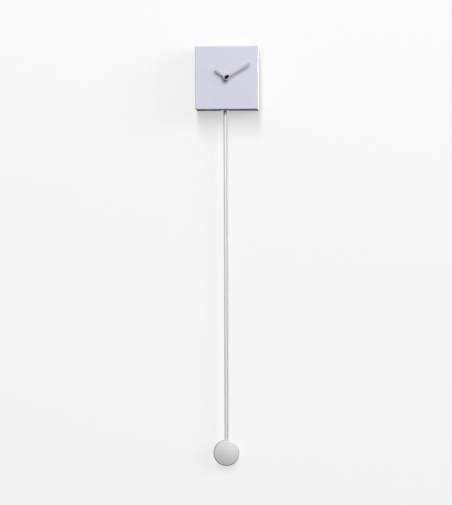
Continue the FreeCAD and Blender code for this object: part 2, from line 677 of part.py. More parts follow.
def rubber_gasket():
    pad = housing_box(Y_FACE_BACK, Y_MOVEMENT, 3.0)
    return pad.cut(rod_y(0.0, HANDS_Z, POST_FLANGE_RADIUS + 0.3, Y_FACE_BACK - PAST, Y_MOVEMENT + PAST))


def dial_washer():
    return ring_y(0.0, HANDS_Z, WASHER_RADIUS, POST_RADIUS + EASY, Y_WASHER, Y_FACE)


def dial_nut():
    nut = hexagon_y(0.0, HANDS_Z, DIAL_NUT_AF, Y_DIAL_NUT, Y_WASHER)
    return nut.cut(rod_y(0.0, HANDS_Z, POST_RADIUS, Y_DIAL_NUT - PAST, Y_WASHER + PAST))


# ---------------------------------------------------------------- hands
def ridged_bar(angle_deg, length, width, y_back):
    """A straight hand: flat back, low ridge along the middle of the front, square end."""
    half = width / 2.0
    y_edge = y_back - HAND_PLATE
    section = [V(-half, y_back, HANDS_Z), V(half, y_back, HANDS_Z), V(half, y_edge, HANDS_Z),
               V(0.0, y_edge - HAND_RIDGE, HANDS_Z), V(-half, y_edge, HANDS_Z)]
    bar = Part.Face(Part.makePolygon(section + [section[0]])).extrude(V(0, 0, length))
    bar.rotate(V(0, 0, HANDS_Z), V(0, 1, 0), angle_deg)
    return bar


def hour_hand():
    bar = ridged_bar(HOUR_ANGLE, HOUR_HAND_LENGTH, HOUR_HAND_WIDTH, Y_HOUR_HAND)
    boss = rod_y(0.0, HANDS_Z, HOUR_BOSS_RADIUS, Y_HOUR_PIPE_END, Y_HOUR_HAND)
    collar = rod_y(0.0, HANDS_Z, HOUR_PIPE_RADIUS + HAND_COLLAR_WALL,
                   Y_HOUR_HAND - 0.1, Y_HOUR_HAND + HOUR_COLLAR)
    clear = rod_y(0.0, HANDS_Z, HOUR_BOSS_RADIUS, Y_HOUR_PIPE_END - 2.0, Y_HOUR_PIPE_END)
    bore = rod_y(0.0, HANDS_Z, HOUR_PIPE_RADIUS, Y_HOUR_HAND - 3.0, Y_HOUR_HAND + 3.0)
    return cut(fuse([bar.cut(clear), boss, collar]), [bore])


def minute_hand():
    bar = ridged_bar(MINUTE_ANGLE, MINUTE_HAND_LENGTH, MINUTE_HAND_WIDTH, Y_MINUTE_HAND)
    boss = rod_y(0.0, HANDS_Z, MINUTE_BOSS_RADIUS, Y_MINUTE_PIPE_END, Y_MINUTE_HAND)
    collar = rod_y(0.0, HANDS_Z, MINUTE_PIPE_RADIUS + HAND_COLLAR_WALL, Y_MINUTE_HAND - 0.1,
                   Y_MINUTE_HAND + MINUTE_COLLAR)
    clear = rod_y(0.0, HANDS_Z, MINUTE_BOSS_RADIUS, Y_MINUTE_PIPE_END - 2.0, Y_MINUTE_PIPE_END)
    bore = rod_y(0.0, HANDS_Z, MINUTE_PIPE_RADIUS, Y_MINUTE_HAND - 3.0, Y_MINUTE_HAND + 3.0)
    return cut(fuse([bar.cut(clear), boss, collar]), [bore])


def hand_cap():
    """Closed round nut that holds the minute hand on its pipe."""
    front = Y_MINUTE_PIPE_END - HAND_CAP_HEIGHT
    rounding = HAND_CAP_ROUNDING
    shoulder = rounding * 0.3
    return turned_y(0.0, HANDS_Z, [
        (MINUTE_STUD_RADIUS, Y_MINUTE_PIPE_END), (HAND_CAP_RADIUS, Y_MINUTE_PIPE_END),
        (HAND_CAP_RADIUS, front + rounding), (HAND_CAP_RADIUS - shoulder, front + shoulder),
        (HAND_CAP_RADIUS - rounding, front), (0.0, front),
        (0.0, Y_STUD_END - 0.2), (MINUTE_STUD_RADIUS, Y_STUD_END - 0.2)])


# ---------------------------------------------------------------- motion work
CANNON_PHASE = TO_MINUTE_WHEEL
MINUTE_WHEEL_PHASE = meshed_phase(CANNON_PHASE, CANNON_TEETH, MINUTE_WHEEL_TEETH, TO_MINUTE_WHEEL)
MINUTE_PINION_PHASE = TO_MINUTE_WHEEL + math.pi
HOUR_WHEEL_PHASE = meshed_phase(MINUTE_PINION_PHASE, MINUTE_WHEEL_PINION_TEETH, HOUR_WHEEL_TEETH,
                                TO_MINUTE_WHEEL + math.pi)
SETTING_PHASE = meshed_phase(MINUTE_WHEEL_PHASE, MINUTE_WHEEL_TEETH, SETTING_TEETH, TO_SETTING)


def minute_pipe():
    """Cannon pinion: pinion, long pipe for the minute hand, and the stud for the cap."""
    centre = (0.0, HANDS_Z)
    pinion = gear_y(centre, CANNON_TEETH, MINUTE_MODULE, PINION_ADDENDUM, CANNON_PHASE,
                    LAYER_CANNON, LAYER_CANNON + GEAR_THICKNESS)
    pipe = rod_y(0.0, HANDS_Z, MINUTE_PIPE_RADIUS, Y_MINUTE_PIPE_END, LAYER_CANNON + GEAR_THICKNESS)
    stud = rod_y(0.0, HANDS_Z, MINUTE_STUD_RADIUS, Y_STUD_END, Y_MINUTE_PIPE_END + 0.5)
    bore = rod_y(0.0, HANDS_Z, CENTRE_ARBOR_RADIUS + RUNNING, Y_CENTRE_ARBOR_END - 0.3,
                 LAYER_CANNON + GEAR_THICKNESS + 1.0)
    return cut(fuse([pinion, pipe, stud]), [bore])


def hour_wheel():
    centre = (0.0, HANDS_Z)
    wheel = gear_y(centre, HOUR_WHEEL_TEETH, HOUR_MODULE, WHEEL_ADDENDUM, HOUR_WHEEL_PHASE,
                   LAYER_HOUR, LAYER_HOUR + GEAR_THICKNESS)
    pipe = rod_y(0.0, HANDS_Z, HOUR_PIPE_RADIUS, Y_HOUR_PIPE_END, LAYER_HOUR + GEAR_THICKNESS)
    bore = rod_y(0.0, HANDS_Z, MINUTE_PIPE_RADIUS + RUNNING, Y_HOUR_PIPE_END - 1.0,
                 LAYER_HOUR + GEAR_THICKNESS + 1.0)
    return cut(fuse([wheel, pipe]), [bore])


def minute_wheel():
    centre = rel(*MINUTE_WHEEL_AT)
    wheel = gear_y(centre, MINUTE_WHEEL_TEETH, MINUTE_MODULE, WHEEL_ADDENDUM, MINUTE_WHEEL_PHASE,
                   LAYER_CANNON, LAYER_CANNON + GEAR_THICKNESS)
    pinion = gear_y(centre, MINUTE_WHEEL_PINION_TEETH, HOUR_MODULE, PINION_ADDENDUM,
                    MINUTE_PINION_PHASE, LAYER_HOUR, LAYER_CANNON)
    bore = rod_y(centre[0], centre[1], CENTRE_ARBOR_RADIUS + RUNNING, LAYER_HOUR - 1.0,
                 LAYER_CANNON + GEAR_THICKNESS + 1.0)
    return cut(fuse([wheel, pinion]), [bore])


def setting_arbor():
    """Gear on the minute wheel and the stem that leads to the knob on the back."""
    x, z = rel(*SETTING_AT)
    gear = gear_y((x, z), SETTING_TEETH, MINUTE_MODULE, WHEEL_ADDENDUM, SETTING_PHASE,
                  LAYER_CANNON, LAYER_CANNON + GEAR_THICKNESS)
    pivot = rod_y(x, z, ARBOR_RADIUS, Y_TRAIN + 0.4, LAYER_CANNON + 0.5)
    stem = rod_y(x, z, SETTING_STEM_RADIUS, LAYER_CANNON, Y_KNOB + SETTING_KNOB_LENGTH - KNOB_END_WALL)
    return fuse([gear, pivot, stem])


def setting_knob():
    """Round knob with finger grooves, pressed on the stem."""
    x, z = rel(*SETTING_AT)
    knob = rod_y(x, z, SETTING_KNOB_RADIUS, Y_KNOB, Y_KNOB + SETTING_KNOB_LENGTH)
    tools = [rod_y(x, z, SETTING_STEM_RADIUS, Y_KNOB - 1.0, Y_KNOB + SETTING_KNOB_LENGTH - KNOB_END_WALL)]
    for k in range(KNOB_GROOVES):
        angle = 2.0 * math.pi * k / KNOB_GROOVES
        gx = x + (SETTING_KNOB_RADIUS + KNOB_GROOVE_OUT) * math.cos(angle)
        gz = z + (SETTING_KNOB_RADIUS + KNOB_GROOVE_OUT) * math.sin(angle)
        tools.append(rod_y(gx, gz, KNOB_GROOVE_RADIUS, Y_KNOB - 1.0, Y_KNOB + SETTING_KNOB_LENGTH + 1.0))
    return cut(knob, tools)


# ---------------------------------------------------------------- going train
ROTOR_PHASE = TO_ROTOR + math.pi
INTERMEDIATE_PHASE = meshed_phase(ROTOR_PHASE, TRAIN_PINION_TEETH, INTERMEDIATE_TEETH,
                                  TO_ROTOR + math.pi)
INTERMEDIATE_PINION_PHASE = TO_INTERMEDIATE + math.pi
SECONDS_PHASE = meshed_phase(INTERMEDIATE_PINION_PHASE, TRAIN_PINION_TEETH, SECONDS_TEETH,
                             TO_INTERMEDIATE + math.pi)
SECONDS_PINION_PHASE = TO_THIRD
THIRD_PHASE = meshed_phase(SECONDS_PINION_PHASE, TRAIN_PINION_TEETH, THIRD_TEETH, TO_THIRD)
THIRD_PINION_PHASE = TO_THIRD + math.pi
CENTRE_PHASE = meshed_phase(THIRD_PINION_PHASE, TRAIN_PINION_TEETH, CENTRE_TEETH, TO_THIRD + math.pi)


def train_wheel(at, wheel, wheel_layer, pinion, pinion_layer, y_front, y_back):
    """A wheel, its pinion in the next layer forward and the arbor through both.

    wheel and pinion are (teeth, module, phase).
    """
    x, z = rel(*at)
    teeth, module, phase = wheel
    rim = gear_y((x, z), teeth, module, WHEEL_ADDENDUM, phase, wheel_layer, wheel_layer + GEAR_THICKNESS)
    teeth, module, phase = pinion
    leaves = gear_y((x, z), teeth, module, PINION_ADDENDUM, phase, pinion_layer, wheel_layer)
    arbor = rod_y(x, z, ARBOR_RADIUS, y_front, y_back)
    return fuse([rim, leaves, arbor])


def centre_wheel():
    """Turns once an hour; its arbor carries the minute pipe and bears the seconds arbor behind."""
    hub_back = LAYER_THIRD - 0.2
    rim = gear_y((0.0, HANDS_Z), CENTRE_TEETH, CENTRE_MODULE, WHEEL_ADDENDUM, CENTRE_PHASE,
                 LAYER_CENTRE, LAYER_CENTRE + GEAR_THICKNESS)
    hub = rod_y(0.0, HANDS_Z, CENTRE_HUB_RADIUS, LAYER_CENTRE - 0.3, hub_back)
    arbor = rod_y(0.0, HANDS_Z, CENTRE_ARBOR_RADIUS, Y_CENTRE_ARBOR_END, LAYER_CENTRE)
    bearing = rod_y(0.0, HANDS_Z, ARBOR_RADIUS + RUNNING, LAYER_CENTRE + 0.1, hub_back + 1.0)
    return cut(fuse([rim, hub, arbor]), [bearing])


def third_wheel():
    return train_wheel(THIRD_AT, (THIRD_TEETH, THIRD_MODULE, THIRD_PHASE), LAYER_THIRD,
                       (TRAIN_PINION_TEETH, CENTRE_MODULE, THIRD_PINION_PHASE), LAYER_CENTRE,
                       Y_ARBOR_FRONT, Y_ARBOR_BACK)


def seconds_wheel():
    return train_wheel((0.0, 0.0), (SECONDS_TEETH, SECONDS_MODULE, SECONDS_PHASE), LAYER_SECONDS,
                       (TRAIN_PINION_TEETH, THIRD_MODULE, SECONDS_PINION_PHASE), LAYER_THIRD,
                       LAYER_CENTRE + 0.3, Y_ARBOR_BACK)


def intermediate_wheel():
    return train_wheel(INTERMEDIATE_AT, (INTERMEDIATE_TEETH, ROTOR_MODULE, INTERMEDIATE_PHASE),
                       LAYER_INTERMEDIATE,
                       (TRAIN_PINION_TEETH, SECONDS_MODULE, INTERMEDIATE_PINION_PHASE), LAYER_SECONDS,
                       Y_ARBOR_FRONT, Y_ARBOR_BACK)


def rotor_pinion():
    x, z = rel(*ROTOR_AT)
    leaves = gear_y((x, z), TRAIN_PINION_TEETH, ROTOR_MODULE, PINION_ADDENDUM, ROTOR_PHASE,
                    LAYER_INTERMEDIATE, LAYER_INTERMEDIATE + GEAR_THICKNESS)
    arbor = rod_y(x, z, ARBOR_RADIUS, ROTOR_BOSS_END - 1.4, Y_ARBOR_BACK)
    return fuse([leaves, arbor])


def rotor_magnet():
    x, z = rel(*ROTOR_AT)
    return ring_y(x, z, ROTOR_MAGNET_RADIUS, ARBOR_RADIUS, Y_MAGNET, Y_MAGNET + ROTOR_MAGNET_LENGTH)


# ---------------------------------------------------------------- stepper motor
def stepper_stator():
    """Soft iron plate: bar with the rotor's hole and two legs up to the coil's core."""
    outline = [rel(x, z) for x, z in (
        (-STATOR_HALF, STATOR_LOW), (STATOR_HALF, STATOR_LOW), (STATOR_HALF, STATOR_TOP),
        (STATOR_HALF - STATOR_LEG, STATOR_TOP), (STATOR_HALF - STATOR_LEG, STATOR_BAR_TOP),
        (-STATOR_HALF + STATOR_LEG, STATOR_BAR_TOP), (-STATOR_HALF + STATOR_LEG, STATOR_TOP),
        (-STATOR_HALF, STATOR_TOP))]
    plate = plate_y(outline, Y_STATOR, Y_STATOR + STATOR_PLATE)
    rx, rz = rel(*ROTOR_AT)
    sx, sz = rel(*SETTING_AT)
    px, pz = rel(*PILLARS[2])
    y0 = Y_STATOR - 1.0
    y1 = Y_STATOR + STATOR_PLATE + 1.0
    return cut(plate, [
        rod_y(rx, rz, ROTOR_MAGNET_RADIUS + ROTOR_GAP, y0, y1),
        rod_y(sx, sz, SETTING_STEM_RADIUS + FREE, y0, y1),
        rod_y(px, pz, PILLAR_RADIUS + EASY, y0, y1)])


def stepper_core():
    """Bar through the coil; its ends lie on the stator's legs."""
    z = HANDS_Z + COIL_Z
    return box(-STATOR_HALF + 0.5, STATOR_HALF - 0.5, Y_CORE, Y_CORE + CORE_PLATE,
               z - CORE_HALF_HEIGHT, z + CORE_HALF_HEIGHT)


def stepper_bobbin():
    z = HANDS_Z + COIL_Z
    half = STEPPER_COIL_LENGTH / 2.0
    sleeve = CORE_HALF_HEIGHT + BOBBIN_WALL
    flange = STEPPER_WINDING_RADIUS
    spool = fuse([
        box(-half, half, Y_COIL - 1.2, Y_COIL + 1.2, z - sleeve, z + sleeve),
        box(-half, -half + BOBBIN_FLANGE, Y_COIL - flange, Y_COIL + flange, z - flange, z + flange),
        box(half - BOBBIN_FLANGE, half, Y_COIL - flange, Y_COIL + flange, z - flange, z + flange)])
    return spool.cut(box(-half - PAST, half + PAST, Y_CORE, Y_CORE + CORE_PLATE,
                         z - CORE_HALF_HEIGHT, z + CORE_HALF_HEIGHT))


def stepper_winding():
    z = HANDS_Z + COIL_Z
    half = STEPPER_COIL_LENGTH / 2.0 - BOBBIN_FLANGE
    sleeve = CORE_HALF_HEIGHT + BOBBIN_WALL
    winding = rod_x(Y_COIL, z, STEPPER_WINDING_RADIUS - 0.2, -half, half)
    return winding.cut(box(-half - PAST, half + PAST, Y_COIL - 1.2, Y_COIL + 1.2, z - sleeve, z + sleeve))


# ---------------------------------------------------------------- board, crystal, battery


def circuit_board():
    return box(BOARD_X[0], BOARD_X[1], Y_BOARD, Y_BOARD + BOARD_SHEET,
               HANDS_Z + BOARD_Z[0], HANDS_Z + BOARD_Z[1])


def clock_chip():
    """Drop of resin over the bonded chip."""
    x, z = rel(*CHIP_AT)
    y = Y_BOARD + BOARD_SHEET
    return turned_y(x, z, [(0.0, y), (3.6, y), (3.2, y + 0.7), (2.0, y + 1.2), (0.0, y + 1.4)])


def quartz_crystal():
    """Small metal can lying on the board, with two leads bent into it."""
    y = Y_BOARD + BOARD_SHEET + CRYSTAL_RADIUS
    z = HANDS_Z + CRYSTAL_Z
    can = rod_x(y, z, CRYSTAL_RADIUS, CRYSTAL_X[0], CRYSTAL_X[1])
    leads = [fuse([rod_x(y, z + dz, 0.2, 2.4, 4.2), rod_y(2.5, z + dz, 0.2, Y_BOARD + BOARD_SHEET, y)])
             for dz in (-0.6, 0.6)]
    return fuse([can] + leads)


def aa_battery():
    z = HANDS_Z + BATTERY_Z
    can_end = BATTERY_PLUS_X - BATTERY_NUB_LENGTH
    can = rod_x(BATTERY_Y, z, BATTERY_RADIUS, BATTERY_PLUS_X - BATTERY_LENGTH, can_end)
    nub = rod_x(BATTERY_Y, z, BATTERY_NUB_RADIUS, can_end - 0.5, BATTERY_PLUS_X)
    return fuse([can, nub])


def battery_contact_positive():
    z = HANDS_Z + BATTERY_Z
    return box(BATTERY_PLUS_X, BAY_INNER_X, BATTERY_Y - CONTACT_HALF_DEPTH, BATTERY_Y + CONTACT_HALF_DEPTH,
               z - CONTACT_HALF_HEIGHT, z + CONTACT_HALF_HEIGHT)


def battery_contact_negative():
    """Plate with a bowed leaf that presses the battery on to the other contact."""
    z = HANDS_Z + BATTERY_Z
    back = -BAY_INNER_X
    front = back + CONTACT_SHEET
    apex = BATTERY_PLUS_X - BATTERY_LENGTH
    plate = box(back, front, BATTERY_Y - CONTACT_HALF_DEPTH, BATTERY_Y + CONTACT_HALF_DEPTH,
               z - CONTACT_HALF_HEIGHT, z + CONTACT_HALF_HEIGHT)
    foot = front - LEAF_SUNK
    inner = apex - LEAF_SHEET
    outline = [(foot, -LEAF_FOOT), (apex, -LEAF_TOP), (apex, LEAF_TOP), (foot, LEAF_FOOT),
               (foot, LEAF_FOOT_INNER), (inner, LEAF_TOP_INNER),
               (inner, -LEAF_TOP_INNER), (foot, -LEAF_FOOT_INNER)]
    bow = [V(x, BATTERY_Y + y, z - LEAF_HALF_HEIGHT) for x, y in outline]
    leaf = Part.Face(Part.makePolygon(bow + [bow[0]])).extrude(V(0, 0, 2.0 * LEAF_HALF_HEIGHT))
    return fuse([plate, leaf])


# ---------------------------------------------------------------- pendulum drive and pivot


def drive_coil_bobbin():
    x, z = rel(PENDULUM_OFFSET, -DRIVE_MAGNET_DROP)
    y1 = Y_BACK_INSIDE
    y0 = y1 - DRIVE_COIL_LENGTH
    r = DRIVE_COIL_RADIUS
    return turned_y(x, z, [
        (DRIVE_BOBBIN_BORE, y0), (r, y0), (r, y0 + DRIVE_BOBBIN_FLANGE),
        (DRIVE_BOBBIN_CORE, y0 + DRIVE_BOBBIN_FLANGE), (DRIVE_BOBBIN_CORE, y1 - DRIVE_BOBBIN_FLANGE),
        (r, y1 - DRIVE_BOBBIN_FLANGE), (r, y1), (DRIVE_BOBBIN_BORE, y1)])


def drive_coil_winding():
    x, z = rel(PENDULUM_OFFSET, -DRIVE_MAGNET_DROP)
    y1 = Y_BACK_INSIDE
    return ring_y(x, z, DRIVE_COIL_RADIUS - DRIVE_WINDING_INSET, DRIVE_BOBBIN_CORE,
                  y1 - DRIVE_COIL_LENGTH + DRIVE_BOBBIN_FLANGE, y1 - DRIVE_BOBBIN_FLANGE)


def pendulum_pivot_pin():
    x, z = PIVOT
    r = PIVOT_PIN_RADIUS
    return turned_y(x, z, [
        (0.0, Y_BACK_INSIDE - PIN_SEAT), (r, Y_BACK_INSIDE - PIN_SEAT), (r, Y_CLIP - 0.05),
        (CLIP_GROOVE_RADIUS, Y_CLIP - 0.05), (CLIP_GROOVE_RADIUS, Y_CLIP + CLIP + 0.05),
        (r, Y_CLIP + CLIP + 0.05), (r, Y_PIN_END - 0.3), (r - 0.3, Y_PIN_END), (0.0, Y_PIN_END)])


def pivot_clip():
    """Open retaining ring in the pin's groove."""
    x, z = PIVOT
    ring = ring_y(x, z, CLIP_RADIUS, CLIP_GROOVE_RADIUS, Y_CLIP, Y_CLIP + CLIP)
    return ring.cut(box(x - CLIP_MOUTH_HALF, x + CLIP_MOUTH_HALF, Y_CLIP - PAST, Y_CLIP + CLIP + PAST,
                        z - CLIP_RADIUS - PAST, z))


def pendulum_arm():
    """Moulded arm on the pivot pin: hub, magnet seat and the eye for the hook pin."""
    x, pz = PIVOT
    mz = HANDS_Z - DRIVE_MAGNET_DROP
    hz = HANDS_Z - HOOK_PIN_DROP
    seat = DRIVE_MAGNET_RADIUS + MAGNET_SEAT_WALL
    arm = fuse([
        rod_y(x, pz, ARM_HUB_RADIUS, Y_ARM, Y_ARM_BACK),
        box(x - ARM_HALF, x + ARM_HALF, Y_ARM, Y_ARM_BACK, hz, pz),
        rod_y(x, mz, seat, Y_ARM, Y_ARM_BACK),
        rod_y(x, hz, ARM_END_RADIUS, Y_ARM, Y_ARM_BACK)])
    return cut(arm, [
        rod_y(x, pz, PIVOT_PIN_RADIUS + RUNNING, Y_ARM - PAST, Y_ARM_BACK + PAST),
        rod_y(x, mz, DRIVE_MAGNET_RADIUS, Y_ARM - 1.0, Y_ARM + DRIVE_MAGNET_LENGTH),
        rod_y(x, hz, HOOK_PIN_RADIUS, Y_ARM - PAST, Y_ARM_BACK + PAST)])


def pendulum_magnet():
    x, z = rel(PENDULUM_OFFSET, -DRIVE_MAGNET_DROP)
    return rod_y(x, z, DRIVE_MAGNET_RADIUS, Y_ARM, Y_ARM + DRIVE_MAGNET_LENGTH)


def hook_pin():
    x, z = rel(PENDULUM_OFFSET, -HOOK_PIN_DROP)
    y_head = Y_HOOK + HOOK_PLATE + 0.6
    return fuse([rod_y(x, z, HOOK_PIN_RADIUS, Y_ARM, y_head),
                 rod_y(x, z, HOOK_PIN_RADIUS + 1.0, y_head, y_head + 0.9)])


def rod_hook():
    """Flat steel hook: hangs on the hook pin, its tang is riveted in the rod."""
    x, z = rel(PENDULUM_OFFSET, -HOOK_PIN_DROP)
    tang_half = ROD_BORE_RADIUS - 0.2
    head_half = HOOK_PIN_RADIUS + HOOK_EYE_WALL
    y0 = Y_HOOK
    y1 = Y_HOOK + HOOK_PLATE
    plate = fuse([
        rod_y(x, z, head_half, y0, y1),
        box(x - tang_half, x + tang_half, y0, y1, ROD_TOP - TANG_LENGTH, z)])
    eye = HOOK_PIN_RADIUS + RUNNING
    rivet_z = HANDS_Z - RIVET_DROP
    return cut(plate, [
        rod_y(x, z, eye, y0 - PAST, y1 + PAST),
        box(x - head_half - 1.0, x, y0 - PAST, y1 + PAST, z - eye, z - eye + 2.0 * eye),
        rod_y(x, rivet_z, RIVET_RADIUS, y0 - PAST, y1 + PAST)])


def pendulum_rod():
    x = PENDULUM_OFFSET
    bottom = BOB_AT[1] - ROD_INTO_BOB
    tube = rod_z(x, Y_ROD, ROD_RADIUS, bottom, ROD_TOP)
    bore = rod_z(x, Y_ROD, ROD_BORE_RADIUS, bottom - 1.0, ROD_TOP + 1.0)
    rivet = rod_y(x, HANDS_Z - RIVET_DROP, RIVET_RADIUS, Y_ROD - 5.0, Y_ROD + 5.0)
    return cut(tube, [bore, rivet])


def rod_rivet():
    reach = math.sqrt(ROD_RADIUS ** 2 - RIVET_RADIUS ** 2)
    return rod_y(PENDULUM_OFFSET, HANDS_Z - RIVET_DROP, RIVET_RADIUS, Y_ROD - reach, Y_ROD + reach)


# ---------------------------------------------------------------- bob
def bob_profile(inset, y_back):
    """Half section of the bob's pressed shell as a face: crowned front, rounded edge, straight side."""
    x, z = BOB_AT
    side = BOB_RADIUS - inset
    flat = BOB_RADIUS - BOB_EDGE_RADIUS
    edge = BOB_EDGE_RADIUS - inset
    corner = math.sqrt(0.5) * edge
    front = Y_BOB_EDGE - edge
    crown = Y_BOB_EDGE - BOB_EDGE_RADIUS - BOB_CROWN + inset
    drop = front - crown
    ball = (flat * flat + drop * drop) / (2.0 * drop)
    mid_y = crown + ball - math.sqrt(ball * ball - flat * flat / 4.0)
    p_axis_back = V(x, y_back, z)
    p_back = V(x + side, y_back, z)
    p_edge = V(x + side, Y_BOB_EDGE, z)
    p_edge_mid = V(x + flat + corner, Y_BOB_EDGE - corner, z)
    p_flat = V(x + flat, front, z)
    p_mid = V(x + flat / 2.0, mid_y, z)
    p_crown = V(x, crown, z)
    edges = [
        Part.LineSegment(p_axis_back, p_back).toShape(),
        Part.LineSegment(p_back, p_edge).toShape(),
        Part.Arc(p_edge, p_edge_mid, p_flat).toShape(),
        Part.Arc(p_flat, p_mid, p_crown).toShape(),
        Part.LineSegment(p_crown, p_axis_back).toShape()]
    return Part.Face(Part.Wire(edges))


def bob_front_shell():
    """Pressed front of the bob; the rod enters through a hole in its side."""
    x, z = BOB_AT
    axis = V(x, 0, z)
    outer = bob_profile(0.0, Y_BOB_BACK).revolve(axis, V(0, 1, 0), 360)
    inner = bob_profile(BOB_SHEET, Y_BOB_BACK + 1.0).revolve(axis, V(0, 1, 0), 360)
    rod_hole = rod_z(x, Y_ROD, ROD_RADIUS + EASY, z, z + BOB_RADIUS + 2.0)
    return cut(outer, [inner, rod_hole])


def bob_weight():
    """Cast disc inside the shell, drilled for the rod and tapped for the screw."""
    x, z = BOB_AT
    disc = rod_y(x, z, WEIGHT_RADIUS, WEIGHT_FRONT, WEIGHT_BACK)
    bore = rod_z(x, Y_ROD, ROD_RADIUS, z - ROD_INTO_BOB, z + BOB_RADIUS)
    return cut(disc, [bore, rod_y(x, z, BOB_SCREW_RADIUS, Y_ROD, WEIGHT_BACK + 1.0)])


def bob_back_plate():
    x, z = BOB_AT
    return ring_y(x, z, BOB_RADIUS - BOB_SHEET - EASY, BOB_SCREW_RADIUS + EASY,
                  Y_BOB_BACK - BOB_BACK_PLATE, Y_BOB_BACK)


def bob_screw():
    """Pan-head screw through the back plate; its tip bears on the rod."""
    x, z = BOB_AT
    r = BOB_SCREW_RADIUS
    head_radius = BOB_SCREW_HEAD_RADIUS
    top = Y_BOB_BACK + BOB_SCREW_HEAD
    head = turned_y(x, z, [
        (0.0, Y_ROD + ROD_RADIUS + 0.05), (r, Y_ROD + ROD_RADIUS + 0.05), (r, Y_BOB_BACK),
        (head_radius, Y_BOB_BACK), (head_radius, top - 0.7), (head_radius - 0.6, top - 0.1), (0.0, top)])
    slot = box(x - head_radius - PAST, x + head_radius + PAST, top - BOB_SCREW_SLOT_DEPTH, top + PAST,
               z - BOB_SCREW_SLOT_HALF, z + BOB_SCREW_SLOT_HALF)
    return head.cut(slot)


# ---------------------------------------------------------------- build
NODES = [
    case_shell, hanger_bracket, bracket_screws, bracket_nuts,
    movement_front_housing, movement_rear_cover, train_bridge,
    threaded_post, rubber_gasket, dial_washer, dial_nut,
    hour_hand, minute_hand, hand_cap,
    minute_pipe, hour_wheel, minute_wheel, setting_arbor, setting_knob,
    centre_wheel, third_wheel, seconds_wheel, intermediate_wheel, rotor_pinion, rotor_magnet,
    stepper_stator, stepper_core, stepper_bobbin, stepper_winding,
    circuit_board, clock_chip, quartz_crystal,
    aa_battery, battery_contact_positive, battery_contact_negative,
    drive_coil_bobbin, drive_coil_winding, pendulum_pivot_pin, pivot_clip,
    pendulum_arm, pendulum_magnet, hook_pin, rod_hook, pendulum_rod, rod_rivet,
    bob_front_shell, bob_weight, bob_back_plate, bob_screw,
]

os.makedirs("parts", exist_ok=True)
for make in NODES:
    shape = make()
    assert shape.isValid(), make.__name__
    shape.exportStep("parts/" + make.__name__ + ".step")
    print("%-26s solids %d  volume %9.1f mm3" % (make.__name__, len(shape.Solids), shape.Volume))
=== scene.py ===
# %% [markdown]
# # A pendulum wall clock in folded steel
# The clock is a square folded case with a quartz movement inside, two ridged hands in front and a
# long rod with a round bob below. The sizes, bodies and joints come from a finished mechanical
# model. This lesson gives each part its made shape and its finish, then hangs it on a pale wall.

# %% Load the frame
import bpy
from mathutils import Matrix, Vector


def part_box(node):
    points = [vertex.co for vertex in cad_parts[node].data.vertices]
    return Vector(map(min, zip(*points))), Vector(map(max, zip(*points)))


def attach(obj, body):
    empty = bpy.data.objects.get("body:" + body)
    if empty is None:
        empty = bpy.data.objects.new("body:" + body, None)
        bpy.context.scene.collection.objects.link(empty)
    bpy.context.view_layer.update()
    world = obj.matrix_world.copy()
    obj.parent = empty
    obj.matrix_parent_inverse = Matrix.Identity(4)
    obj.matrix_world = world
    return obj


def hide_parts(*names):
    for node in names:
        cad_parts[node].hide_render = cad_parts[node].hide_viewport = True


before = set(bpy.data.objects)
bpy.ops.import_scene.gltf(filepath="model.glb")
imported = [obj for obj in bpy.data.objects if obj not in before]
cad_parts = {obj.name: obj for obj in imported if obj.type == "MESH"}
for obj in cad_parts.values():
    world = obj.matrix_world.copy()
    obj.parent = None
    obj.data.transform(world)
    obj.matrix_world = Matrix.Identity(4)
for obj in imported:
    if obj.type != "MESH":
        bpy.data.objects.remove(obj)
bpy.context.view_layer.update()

# %% Tools used in every step
import bpy, bmesh
from math import cos, radians, sin, sqrt, tau
from mathutils import Matrix, Vector

MM = 0.001
scene = bpy.context.scene

def span(node):
    lo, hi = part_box(node)
    return [v / MM for v in lo], [v / MM for v in hi]

def middle(node):
    lo, hi = span(node)
    return [(a + b) / 2 for a, b in zip(lo, hi)]

HANDS_AXIS = middle("hand_cap")
BOB_AXIS = middle("bob_front_shell")
print("hands' axis at", [round(v, 2) for v in HANDS_AXIS], "bob at", [round(v, 2) for v in BOB_AXIS])

# %% [markdown]
# ## The eye
# The case hangs above the eye and a little to its left, so its underside shows as a thin dark
# strip. A long lens from a little over two metres keeps the square case square. The camera is
# given by its place, its turn and its lens, with no shift.

# %% Set the camera
CAMERA_AT = (94.2, -2350.0, -244.4)
CAMERA_DOWN = radians(-2.454)
CAMERA_LEFT = radians(-2.394)
CAMERA_ROLL = radians(-0.188)
LENS, SENSOR, FARTHEST = 93.46, 36.0, 50.0
flat_reach = cos(CAMERA_DOWN)
ahead = Vector((sin(CAMERA_LEFT) * flat_reach, cos(CAMERA_LEFT) * flat_reach, sin(CAMERA_DOWN)))
level = Vector((cos(CAMERA_LEFT), -sin(CAMERA_LEFT), 0))
upward = level.cross(ahead)
right = level * cos(CAMERA_ROLL) + upward * sin(CAMERA_ROLL)
up = upward * cos(CAMERA_ROLL) - level * sin(CAMERA_ROLL)
lens = bpy.data.cameras.new("eye")
lens.lens, lens.sensor_width, lens.clip_end = LENS, SENSOR, FARTHEST
eye = bpy.data.objects.new("eye", lens)
facing = Matrix((right, up, -ahead)).transposed().to_4x4()
eye.matrix_world = Matrix.Translation(Vector(CAMERA_AT) * MM) @ facing
scene.collection.objects.link(eye)
scene.camera = eye
scene.view_settings.view_transform = "Standard"
print("lens", lens.lens, "mm, standing", round(-CAMERA_AT[1] * MM, 2), "m from the wall")

# %% [markdown]
# ## Building blocks
# Most parts of a clock are turned, folded from sheet, or stamped. One helper turns a profile about
# an axis as a lathe does, one makes a plain block with bent edges, one cuts a piece with another
# as a punch or a drill does, and one takes the sharpness off the edges. Shapes are drawn in
# millimetres and shrunk to metres when they are fitted.

